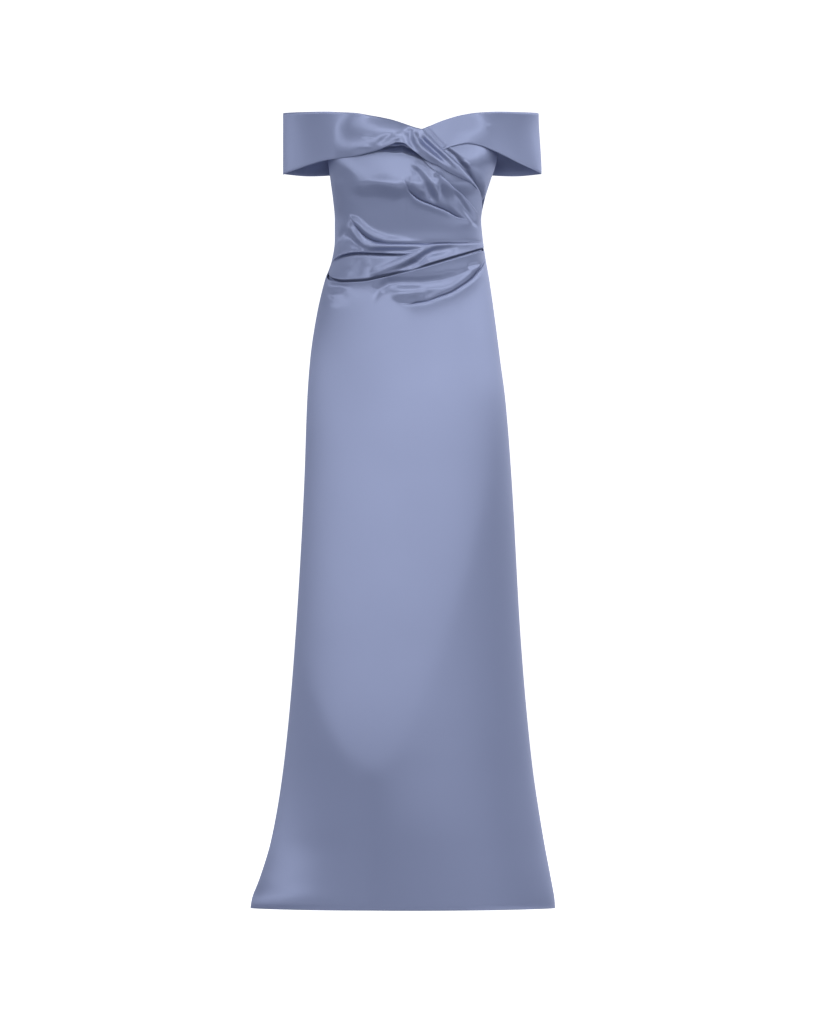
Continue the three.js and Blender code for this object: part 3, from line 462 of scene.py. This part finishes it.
def fold_relief(folds, x, height):
    """Soft ridges, and troughs where the height is negative, along the paths of a fold table."""
    out = 0 * x
    for size, spread, grow, die, path in folds:
        nearest = np.full(x.shape, 1e9)
        along = np.zeros(x.shape)
        for i in range(len(path) - 1):
            dx = path[i + 1][0] - path[i][0]
            dz = path[i + 1][1] - path[i][1]
            t = np.clip(((x - path[i][0]) * dx + (height - path[i][1]) * dz) / (dx * dx + dz * dz), 0, 1)
            far = np.hypot(x - path[i][0] - t * dx, height - path[i][1] - t * dz)
            nearer = far < nearest
            along = np.where(nearer, (i + t) / (len(path) - 1), along)
            nearest = np.where(nearer, far, nearest)
        swell = ease(0, grow, along) * (1 - ease(1 - die, 1, along))
        out = out + size * swell * np.exp(-((nearest / (spread * (0.5 + 0.5 * swell))) ** 2))
    return out


def break_relief(x, height):
    """Below a line that climbs to both sides, the skirt turns in a little."""
    aside = np.hypot(x - BREAK_X, BREAK_ROUND) - BREAK_ROUND
    line = BREAK_HEIGHT + BREAK_CLIMB * aside ** BREAK_POWER
    slope = BREAK_CLIMB * BREAK_POWER * aside ** (BREAK_POWER - 1)
    below = (line - height) / np.hypot(1, slope)
    past = (below + np.hypot(below, BREAK_SOFT)) / 2
    return -BREAK_TURN * BREAK_REACH * (1 - np.exp(-past / BREAK_REACH))


def seam_groove(turn, seams):
    """Cloth dips into a seam. seams are the turns where a piece is sewn."""
    return sum(-SEAM_DIP * np.exp(-((np.abs(turn - s) / SEAM_DIP_TURN) ** 2)) for s in seams)


def rows_between(upper, lower, steps):
    return [lerp(upper, lower, (k + 1) / (steps + 1)) for k in range(steps)]


# Mesh helpers

def cloth(name, grid, material, level=True):
    """A thin shell through a grid of points, rows running down and columns towards +turn.

    level keeps the satin's lay level all over, with a little of the row's number so that rows at one
    height still have a direction. Otherwise the lay follows the rows.
    """
    grid = np.asarray(grid, float)
    rows, columns = grid.shape[:2]
    points = grid.reshape(-1, 3).copy()
    points[:, 2] -= HOLD_HEIGHT
    j, i = np.meshgrid(np.arange(rows - 1), np.arange(columns - 1), indexing="ij")
    a = (j * columns + i).ravel()
    faces = np.stack([a, a + columns, a + columns + 1, a + 1], -1)
    mesh = bpy.data.meshes.new(name)
    mesh.from_pydata((points / 1000).tolist(), [], faces.tolist())
    mesh.polygons.foreach_set("use_smooth", [True] * len(mesh.polygons))
    uv = mesh.uv_layers.new(name="cloth")
    corner = np.array([loop.vertex_index for loop in mesh.loops])
    down = -(corner // columns).astype(float)
    if level:
        down = points[corner, 2] + down / 100
    uv.data.foreach_set("uv", np.stack([corner % columns, down], -1).ravel())
    piece = bpy.data.objects.new(name, mesh)
    scene.collection.objects.link(piece)
    mesh.materials.append(material)
    shell = piece.modifiers.new("cloth", "SOLIDIFY")
    shell.thickness = CLOTH / 1000
    shell.offset = -1
    return piece


def node_material(name, color, roughness, metallic=0.0):
    """A material and its shader."""
    material = bpy.data.materials.new(name)
    material.use_nodes = True
    shader = material.node_tree.nodes["Principled BSDF"]
    shader.inputs["Base Color"].default_value = (*color, 1)
    shader.inputs["Roughness"].default_value = roughness
    shader.inputs["Metallic"].default_value = metallic
    return material, shader


def grain(material, shader, per_metre, roughness, depth):
    """Roughness that wanders between two values, and a fine raised grain depth metres high."""
    tree = material.node_tree
    place = tree.nodes.new("ShaderNodeTexCoord")
    patches = tree.nodes.new("ShaderNodeTexNoise")
    patches.inputs["Scale"].default_value = 9
    spread = tree.nodes.new("ShaderNodeMapRange")
    spread.inputs["To Min"].default_value = roughness[0]
    spread.inputs["To Max"].default_value = roughness[1]
    stretch = tree.nodes.new("ShaderNodeMapping")
    stretch.inputs["Scale"].default_value = per_metre
    threads = tree.nodes.new("ShaderNodeTexNoise")
    threads.inputs["Scale"].default_value = 1
    raised = tree.nodes.new("ShaderNodeBump")
    raised.inputs["Strength"].default_value = 1
    raised.inputs["Distance"].default_value = depth
    tree.links.new(place.outputs["Object"], patches.inputs["Vector"])
    tree.links.new(patches.outputs["Fac"], spread.inputs["Value"])
    tree.links.new(spread.outputs["Result"], shader.inputs["Roughness"])
    tree.links.new(place.outputs["Object"], stretch.inputs["Vector"])
    tree.links.new(stretch.outputs["Vector"], threads.inputs["Vector"])
    tree.links.new(threads.outputs["Fac"], raised.inputs["Height"])
    tree.links.new(raised.outputs["Normal"], shader.inputs["Normal"])


satin, satin_shader = node_material("satin", (0.3, 0.34, 0.505), 0.41, 0.65)
sheen_way = satin.node_tree.nodes.new("ShaderNodeTangent")
sheen_way.direction_type = "UV_MAP"
sheen_way.uv_map = "cloth"
satin.node_tree.links.new(sheen_way.outputs["Tangent"], satin_shader.inputs["Tangent"])
satin_shader.inputs["Anisotropic"].default_value = 0.95
grain(satin, satin_shader, (1400, 1400, 220), (0.38, 0.44), 0.00001)
tape_cloth, tape_shader = node_material("zip_tape", (0.2, 0.235, 0.4), 0.85)
grain(tape_cloth, tape_shader, (2600, 2600, 1300), (0.8, 0.9), 0.00006)
lacquer, lacquer_shader = node_material("zip_metal", (0.23, 0.27, 0.45), 0.3, 0.4)
grain(lacquer, lacquer_shader, (500, 500, 500), (0.24, 0.38), 0.00002)
thread, thread_shader = node_material("thread", (0.24, 0.28, 0.45), 0.7)
grain(thread, thread_shader, (4000, 4000, 4000), (0.6, 0.8), 0.00005)


def rolled_rows(edge, across):
    """Rows that roll a slanted free edge over: heights, pleat, shift out."""
    top = edge(across)
    longer = stretch_of(edge, across, top)
    return [(top - below * longer, None, shift) for below, shift in ROLL_ROWS]


def plain_rows(upper, lower, steps):
    return [(height, None, 0) for height in rows_between(upper, lower, steps)]


def folded_rows(above, pleats, across):
    """Rows on from the last row above through each pleat, with its number of plain rows before it."""
    rows = []
    last = above
    for pleat, steps in pleats:
        folded = [(height, pleat, out) for height, out in pleat_rows(pleat, across)]
        rows += plain_rows(last, folded[0][0], steps) + folded
        last = folded[-1][0]
    return rows


def bodice_front():
    """It goes down under the skirt's rim, where it lies pressed flat, with the skirt's troughs in it."""
    turn = np.linspace(-1, 1, BODICE_COLUMNS)
    across = across_of(turn)
    rim = skirt_rim(across)
    pleats = [(UPPER, 12), (BUST, 28), (WAIST, 36), (HIP, 12)]
    rows = rolled_rows(wrap_edge, across)
    rows += folded_rows(rows[-1][0], pleats, across)
    rows += plain_rows(rows[-1][0], rim - TUCK, 30) + [(rim - TUCK, None, 0)]
    grid = []
    for height, own, out in rows:
        x = across * half_width(across, height)
        relief = out + fold_relief(BODICE_FOLDS, x, height) * off_seam(across)
        relief = relief + sum(pleat_relief(pleat, across, height) for pleat, _ in pleats if pleat is not own)
        shown = ease(0.6, 6, height - rim)
        pressed = 1.7 * UNDER_LAYER + np.minimum(0, fold_relief(SKIRT_FOLDS, x, height)) * off_seam(across)
        relief = lerp(pressed, relief, shown) + seam_groove(turn, [-1, 1])
        grid.append(on_figure(turn, height, True, relief))
    return cloth("bodice_front_satin", grid, satin)


def bodice_under_front():
    """It goes down under the wrap's edge, where it lies pressed flat."""
    turn = np.linspace(0.14, 1, UNDER_COLUMNS)
    across = across_of(turn)
    wrap = wrap_edge(across)
    top = np.maximum(back_neck(across) + 4, wrap + 3)
    rows = [top] + rows_between(top, wrap, 44) + [wrap] + rows_between(wrap, wrap - TUCK, 4) + [wrap - TUCK]
    grid = []
    for height in rows:
        x = across * half_width(across, height)
        out = lerp(1.5 * UNDER_LAYER, 0, ease(2, 26, height - wrap)) + seam_groove(turn, [1])
        grid.append(on_figure(turn, height, True, out + fold_relief(UNDER_FOLDS, x, height)))
    return cloth("bodice_under_front_satin", grid, satin)


# Rows that turn the hem up on the inside: height and shift out.
HEM_ROWS = [(0.9, 0), (0.3, -0.15), (0, -0.6), (0, -1.3), (0.5, -1.7), (3, -1.8), (12, -1.8),
            (HEM_TURN, -1.8)]


def skirt_front():
    """It stands up a little under its rim, and its own rows fold the swag pleat over."""
    turn = np.linspace(-1, 1, SKIRT_COLUMNS)
    across = across_of(turn)
    rim = skirt_rim(across)
    hip = HIP_HEIGHT + 0 * across
    rows = rolled_rows(skirt_rim, across)
    rows += folded_rows(rows[-1][0], [(SWAG, 28)], across)
    rows += plain_rows(rows[-1][0], hip, 44) + [(hip, None, 0)]
    rows += plain_rows(hip, HEM_ROUND + 0 * across, 120)
    rows += [(height + 0 * across, None, shift) for height, shift in HEM_ROWS]
    grid = []
    for height, own, out in rows:
        x = across * half_width(across, height)
        relief = out + RIM_LIFT * np.exp(-np.maximum(0, rim - height) / RIM_REACH) * off_seam(across)
        relief = relief + (fold_relief(SKIRT_FOLDS, x, height) + break_relief(x, height)) * off_seam(across)
        if own is None:
            relief = relief + pleat_relief(SWAG, across, height)
        relief = relief + seam_groove(turn, [-1, 1])
        grid.append(on_figure(turn, height, True, relief))
    return cloth("skirt_front_satin", grid, satin)


def back_piece(name, turn, rows, seam, back_folds):
    """A back panel between a side seam and the centre back, from its rows of height and shift out."""
    across = across_of(turn)
    grid = []
    for height, shift in rows:
        groove = -SEAM_DIP * np.exp(-(((height - seam) / SEAM_DIP_REACH) ** 2))
        folds = fold_relief(back_folds, across * half_width(across, height), height)
        out = shift + seam_groove(turn, [turn[0], turn[-1]]) + groove + folds * off_seam(across)
        grid.append(on_figure(turn, height, False, out))
    return cloth(name, grid, satin)


def bodice_back(name, start, end):
    turn = np.linspace(start, end, BODICE_BACK_COLUMNS)
    neck = back_neck(np.abs(across_of(turn)))
    seam = WAIST_SEAM_HEIGHT + SEAM_GAP / 2 + 0 * turn
    rows = [(neck - below, shift) for below, shift in ROLL_ROWS]
    rows += [(height, 0) for height in rows_between(rows[-1][0], seam, 60) + [seam]]
    return back_piece(name, turn, rows, seam, BODICE_BACK_FOLDS)


def skirt_back(name, start, end):
    turn = np.linspace(start, end, SKIRT_BACK_COLUMNS)
    seam = WAIST_SEAM_HEIGHT - SEAM_GAP / 2 + 0 * turn
    rows = [(height, 0) for height in [seam] + rows_between(seam, HEM_ROUND + 0 * turn, 180)]
    rows += [(height + 0 * turn, shift) for height, shift in HEM_ROWS]
    return back_piece(name, turn, rows, seam, SKIRT_BACK_FOLDS)


# Band

def band_half_width(x, height):
    left = lerp(BAND_LEFT_HALF, BAND_LEFT_HALF_AT_EDGE, ease(BAND_TOP, BAND_LOW, height))
    return np.where(x < 0, BAND_RIGHT_HALF, left)


def band_point(x, height, front, out):
    """A point of the bands: out from the figure where they lie on it, and on the arm loops elsewhere."""
    share = x / band_half_width(x, height)
    body_share = x / half_width(x, height)
    inside = (FRONT_DEPTH if front else BACK_DEPTH)(height) * arch(body_share, SQUARE(height)) + out
    outside = out - (np.abs(body_share) - 1) * SIDE_FALL
    body = np.where(np.abs(body_share) < 1, inside, outside)
    loop_depth = LOOP_DEPTH_FRONT if front else LOOP_DEPTH_BACK
    loop = loop_depth * np.power(np.maximum(0, 1 - share * share), LOOP_POWER)
    near = np.maximum(0, 1 - np.abs(body - loop) / LOOP_BLEND)
    above_middle = (height - (BAND_TOP + BAND_LOW) / 2) / (BAND_TOP - BAND_LOW)
    lean = BAND_LEAN * above_middle * ease(LEAN_START, LEAN_FULL, np.abs(x)) * (1 - np.abs(share) ** 8)
    depth = np.maximum(body, loop) + near * near * LOOP_BLEND / 4 + lean
    return np.stack([x, -depth if front else depth, height], -1)


def band_belly(x, step):
    """The band's face bulges between its edges."""
    return belly_curve(x) * np.sin(math.pi * step)


def back_band(turn, step):
    across = np.abs(across_of(turn))
    height = lerp(back_band_low(across), back_band_top(across), step)
    x = across_of(turn) * band_half_width(np.sign(turn), height)
    x = x + np.sign(turn) * SEAM_GAP / 2 * (1 - across)
    return band_point(x, height, False, BAND_LAYER + fold_relief(BACK_BAND_FOLDS, x, height))


CROSSING = [smooth_curve([(i, row[k]) for i, row in enumerate(CROSSING_BAND)]) for k in range(6)]
FRONT_PLACES = len(CROSSING_BAND) - 1
BACK_PLACES = 13


def crossing_front(place, step):
    top_x, top_height, low_x, low_height, top_out, low_out = [c(place) for c in CROSSING]
    x = lerp(low_x, top_x, step)
    height = lerp(low_height, top_height, step)
    out = lerp(low_out, top_out, step) + band_belly(x, step) + fold_relief(BAND_FOLDS, x, height)
    return band_point(x, height, True, out)


def left_front(share, step):
    """The left band's front, which starts under the crossing, further out at its lower edge."""
    inner = lerp(0.13, 0.035, step)
    across = across_of(lerp(inner, 1, share))
    height = lerp(left_band_low(across), left_band_top(across), step)
    x = across * band_half_width(across, height)
    relief = band_belly(x, step) * ease(50, 110, x) + fold_relief(LEFT_BAND_FOLDS, x, height)
    return band_point(x, height, True, BAND_LAYER + relief)


def crossing_band_at(place, step):
    """place is below 0 behind, from the centre back to the arm, and above 0 on the front's stations."""
    behind = back_band(np.minimum(place, -1e-4) / BACK_PLACES - 1, step)
    front = crossing_front(np.maximum(place, 0), step)
    return np.where((place < 0)[..., None], behind, front)


def left_band_at(place, step):
    """place is 0 to 1 on the front, from the crossing to the arm, and 1 to 2 behind."""
    front = left_front(np.minimum(place, 1), step)
    behind = back_band(np.maximum(place, 1 + 1e-4), step)
    return np.where((place > 1)[..., None], behind, front)


def band(name, at, places):
    """A doubled band: up its inner layer, over the top fold, down its face and under the lower fold."""
    span = np.linalg.norm(at(places, 1 + 0 * places) - at(places, 0 * places), axis=-1)
    small = np.minimum(1, span / 12)
    face = np.linspace(0, 1, 40)[1:-1]
    inner = np.linspace(0, 1, 9)[1:-1]
    # The inner layer's edges meet halfway up. Each row: share of the span below the top edge, millimetres
    # below that, and depth behind the face.
    path = [(0.497, 0, 1)] + [(0.5 * (1 - t), 2 * t, 1) for t in inner]
    path += [(0, 2, 1), (0, 0.8, 0.97), (0, 0.2, 0.8), (0, 0, 0.5), (0, 0.15, 0.2), (0, 0.7, 0.03)]
    path += [(t, lerp(1.5, -1.5, t), 0) for t in face]
    path += [(1, -0.7, 0.03), (1, -0.15, 0.2), (1, 0, 0.5), (1, -0.2, 0.8), (1, -0.8, 0.97), (1, -2, 1)]
    path += [(1 - 0.5 * t, -2 * (1 - t), 1) for t in inner] + [(0.503, 0, 1)]
    nudge = 0.004
    grid = []
    for share, along, behind in path:
        step = 1 - share - along * small / np.maximum(span, 1)
        point = at(places, step)
        down = at(places, step - nudge) - at(places, step + nudge)
        side = at(places + nudge, step) - at(places - nudge, step)
        outward = np.cross(down, side)
        outward = outward / np.linalg.norm(outward, axis=-1, keepdims=True)
        grid.append(point - outward * behind * BAND_TURN)
    return cloth(name, grid, satin, level=False)


pieces = {}
pieces["bodice_front"] = bodice_front()
pieces["bodice_under_front"] = bodice_under_front()
pieces["bodice_back_left"] = bodice_back("bodice_back_left_satin", 1, 2)
pieces["bodice_back_right"] = bodice_back("bodice_back_right_satin", -2, -1)
pieces["skirt_front"] = skirt_front()
pieces["skirt_back_left"] = skirt_back("skirt_back_left_satin", 1, 2)
pieces["skirt_back_right"] = skirt_back("skirt_back_right_satin", -2, -1)
crossing_places = np.concatenate([np.linspace(-BACK_PLACES, 0, 90)[:-1], np.linspace(0, FRONT_PLACES, 190)])
pieces["band_right"] = band("band_right_satin", crossing_band_at, crossing_places)
pieces["band_left"] = band("band_left_satin", left_band_at, np.linspace(0, 2, 240))

for node, piece in pieces.items():
    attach(piece, "dress")
    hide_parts(node)


# Zip coil and stitches

# No thread runs in this direction, so that every tube has a clear side.
NO_THREADS_WAY = (0.37, 0.21, 0.9)


def cord_mesh(name, paths, radius, material, sides=4):
    """Thin tubes along lists of points."""
    verts = []
    faces = []
    for path in paths:
        path = np.asarray(path, float)
        way = np.gradient(path, axis=0)
        way = way / np.linalg.norm(way, axis=-1, keepdims=True)
        aside = np.cross(way, NO_THREADS_WAY)
        aside = aside / np.linalg.norm(aside, axis=-1, keepdims=True)
        other = np.cross(way, aside)
        first = len(verts)
        for point, u, v in zip(path, aside, other):
            for k in range(sides):
                turn = 2 * math.pi * k / sides
                spot = point + radius * (u * math.cos(turn) + v * math.sin(turn))
                verts.append((spot[0] / 1000, spot[1] / 1000, (spot[2] - HOLD_HEIGHT) / 1000))
        for i in range(len(path) - 1):
            for k in range(sides):
                a = first + i * sides + k
                b = first + i * sides + (k + 1) % sides
                faces.append((a, b, b + sides, a + sides))
        faces.append(tuple(first + k for k in range(sides))[::-1])
        faces.append(tuple(first + (len(path) - 1) * sides + k for k in range(sides)))
    mesh = bpy.data.meshes.new(name)
    mesh.from_pydata(verts, [], faces)
    mesh.polygons.foreach_set("use_smooth", [True] * len(mesh.polygons))
    mesh.materials.append(material)
    piece = bpy.data.objects.new(name, mesh)
    scene.collection.objects.link(piece)
    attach(piece, "dress")
    return piece


def inside_back(x, height, depth):
    """A point behind the outer face of the back, near its centre."""
    across = x / half_width(x, height)
    return np.array([x, float(BACK_DEPTH(height) * arch(across, SQUARE(height))) - depth, height])


coil = []
for turns in np.arange(0, (ZIP_TOP - ZIP_LOW) / COIL_PITCH, 1 / COIL_STEPS):
    angle = 2 * math.pi * turns
    swing = (COIL_WIDE * math.cos(angle), COIL_DEEP * math.sin(angle), 0)
    coil.append(inside_back(0, ZIP_LOW + turns * COIL_PITCH, COIL_DEPTH) + swing)
cord_mesh("zip_coil", [coil], COIL_RADIUS, thread)

# A stitch on the zip tape: rise along the tape, and depth in front of it.
TAPE_STITCH = [(0, -0.1), (0.6, 0.25), (2, 0.25), (2.6, -0.1)]
stitches = []
for x in (-ZIP_STITCH, ZIP_STITCH):
    for height in np.arange(ZIP_LOW + STITCH_PITCH, ZIP_TOP - 6, STITCH_PITCH):
        stitches.append([inside_back(x, height + rise, TAPE_DEPTH + depth) for rise, depth in TAPE_STITCH])
cord_mesh("zip_stitches", stitches, STITCH_RADIUS, thread)

# A tack over the turn-up's raw edge: height above the hem, and depth behind the skirt's outer face.
HEM_TACK = [(HEM_TURN - 2.4, 2.3), (HEM_TURN - 1, 2.75), (HEM_TURN + 0.8, 2.3), (HEM_TURN + 2, 1.3)]
# Turns from one tack to the next, and turns that a tack slants with each of its points.
TACK_STEP = 0.018
TACK_SLANT = TACK_STEP / 15
hem_stitches = []
for turn in np.arange(-1.97, 2, TACK_STEP):
    if abs(abs(turn) - 1) < TACK_STEP:
        continue
    front = abs(turn) < 1
    tack = []
    for height, depth in HEM_TACK:
        at = np.array([turn + len(tack) * TACK_SLANT])
        across = across_of(at)
        x = across * half_width(across, height)
        folds = fold_relief(SKIRT_FOLDS if front else SKIRT_BACK_FOLDS, x, height)
        out = (folds + (break_relief(x, height) if front else 0)) * off_seam(across)
        tack.append(on_figure(at, height + 0 * at, front, out - depth)[0])
    hem_stitches.append(tack)
cord_mesh("hem_stitches", hem_stitches, STITCH_RADIUS, thread)

for node, material in (("zip_tape", tape_cloth), ("zip_slider", lacquer), ("zip_pull", lacquer)):
    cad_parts[node].data.materials.clear()
    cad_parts[node].data.materials.append(material)


# Stage

scene.view_settings.view_transform = "Standard"
HEM_ABOVE_FLOOR = 12
FLOOR = -(HOLD_HEIGHT + HEM_ABOVE_FLOOR) / 1000
# A round pale floor that curves up into a wall behind every camera, in metres.
STAGE_RADIUS = 24
SWEEP_RADIUS = 4
SWEEP_STEPS = 12
WALL_TOP = 14
ROUND = 96
profile = [(STAGE_RADIUS, FLOOR)]
for k in range(1, SWEEP_STEPS + 1):
    bend = k / SWEEP_STEPS * math.pi / 2
    rise = SWEEP_RADIUS * (1 - math.cos(bend))
    profile.append((STAGE_RADIUS + SWEEP_RADIUS * math.sin(bend), FLOOR + rise))
profile.append((STAGE_RADIUS + SWEEP_RADIUS, WALL_TOP))
sweep_points = [(0, 0, FLOOR)]
for radius, z in profile:
    for k in range(ROUND):
        angle = 2 * math.pi * k / ROUND
        sweep_points.append((radius * math.cos(angle), radius * math.sin(angle), z))
sweep_faces = [(0, 1 + k, 1 + (k + 1) % ROUND) for k in range(ROUND)]
for ring in range(len(profile) - 1):
    for k in range(ROUND):
        a = 1 + ring * ROUND + k
        b = 1 + ring * ROUND + (k + 1) % ROUND
        sweep_faces.append((a, a + ROUND, b + ROUND, b))
sweep_mesh = bpy.data.meshes.new("paper_sweep")
sweep_mesh.from_pydata(sweep_points, [], sweep_faces)
sweep_mesh.polygons.foreach_set("use_smooth", [True] * len(sweep_mesh.polygons))
sweep = bpy.data.objects.new("paper_sweep", sweep_mesh)
scene.collection.objects.link(sweep)
paper, paper_shader = node_material("paper", (0.5, 0.5, 0.5), 0.9)
paper_shader.inputs["Emission Color"].default_value = (1, 1, 1, 1)
paper_shader.inputs["Emission Strength"].default_value = 1
sweep_mesh.materials.append(paper)
sweep.visible_glossy = False
sweep.visible_diffuse = False

world = bpy.data.worlds.new("studio")
scene.world = world
world.use_nodes = True
background = world.node_tree.nodes["Background"]
background.inputs["Color"].default_value = (0.9, 0.95, 1.12, 1)
background.inputs["Strength"].default_value = 0.35

# Softboxes round the dress, so that the satin's lights and darks fall as in the photograph: azimuth from
# and to (0 in front, 90 at its left), elevation from and to, radiance.
SOFTBOXES = [
    (-60, -20, 0, 9, 1.4),
    (-20, 20, 4, 12, 1.2),
    (-20, 20, 12, 25, 2.1),
    (20, 60, 4, 16, 1.1),
    (-100, -60, 2, 13, 1.2),
    (60, 100, 9, 35, 2.2),
    (-100, -60, 35, 60, 0.5),
    (-20, 20, 25, 42, 1.1),
    (-20, 20, 42, 65, 2.4),
    (20, 60, 35, 60, 1.0),
    (-60, -20, 60, 85, 1.8),
    (-20, 40, -8, 1, 0.9),
    (60, 100, -35, -12, 1.0),
    (-60, -20, -32, -12, 0.5),
    (20, 60, -32, -12, 0.5),
    (-160, -120, -20, 40, 0.3),
    (120, 160, -20, 40, 1.2),
]
# Their distance from the point they look at, near the dress's middle.
SOFTBOX_REACH = 7
AIM = Vector((0, 0, -0.45))
for azimuth_from, azimuth_to, low, high, radiance in SOFTBOXES:
    azimuth = math.radians((azimuth_from + azimuth_to) / 2)
    elevation = math.radians((low + high) / 2)
    level = math.cos(elevation)
    way = Vector((math.sin(azimuth) * level, -math.cos(azimuth) * level, math.sin(elevation)))
    light = bpy.data.lights.new("softbox", "AREA")
    light.shape = "RECTANGLE"
    light.size = 2 * SOFTBOX_REACH * math.tan(math.radians(azimuth_to - azimuth_from) / 2) * level
    light.size_y = 2 * SOFTBOX_REACH * math.tan(math.radians(high - low) / 2)
    light.energy = math.pi * light.size * light.size_y * radiance
    lamp = bpy.data.objects.new("softbox", light)
    scene.collection.objects.link(lamp)
    lamp.location = AIM + way * SOFTBOX_REACH
    lamp.rotation_euler = (-way).to_track_quat("-Z", "Y").to_euler()
    lamp.visible_camera = False

# The photograph's view: its height and the hem's row in pixels, and the scale at the dress.
PHOTO_HEIGHT = 1024
HEM_ROW = 908
MM_PER_PIXEL = 1.74
VIEW_DISTANCE = 20
VIEW_X = -0.0009
SENSOR = 24
lens = bpy.data.cameras.new("camera")
lens.sensor_fit = "VERTICAL"
lens.sensor_height = SENSOR
lens.lens = SENSOR * VIEW_DISTANCE / (PHOTO_HEIGHT * MM_PER_PIXEL / 1000)
lens.clip_end = 200
camera = bpy.data.objects.new("camera", lens)
scene.collection.objects.link(camera)
scene.camera = camera
view_height = (HEM_ROW - PHOTO_HEIGHT / 2) * MM_PER_PIXEL - HOLD_HEIGHT
camera.location = (VIEW_X, -VIEW_DISTANCE, view_height / 1000)
camera.rotation_euler = (math.pi / 2, 0, 0)
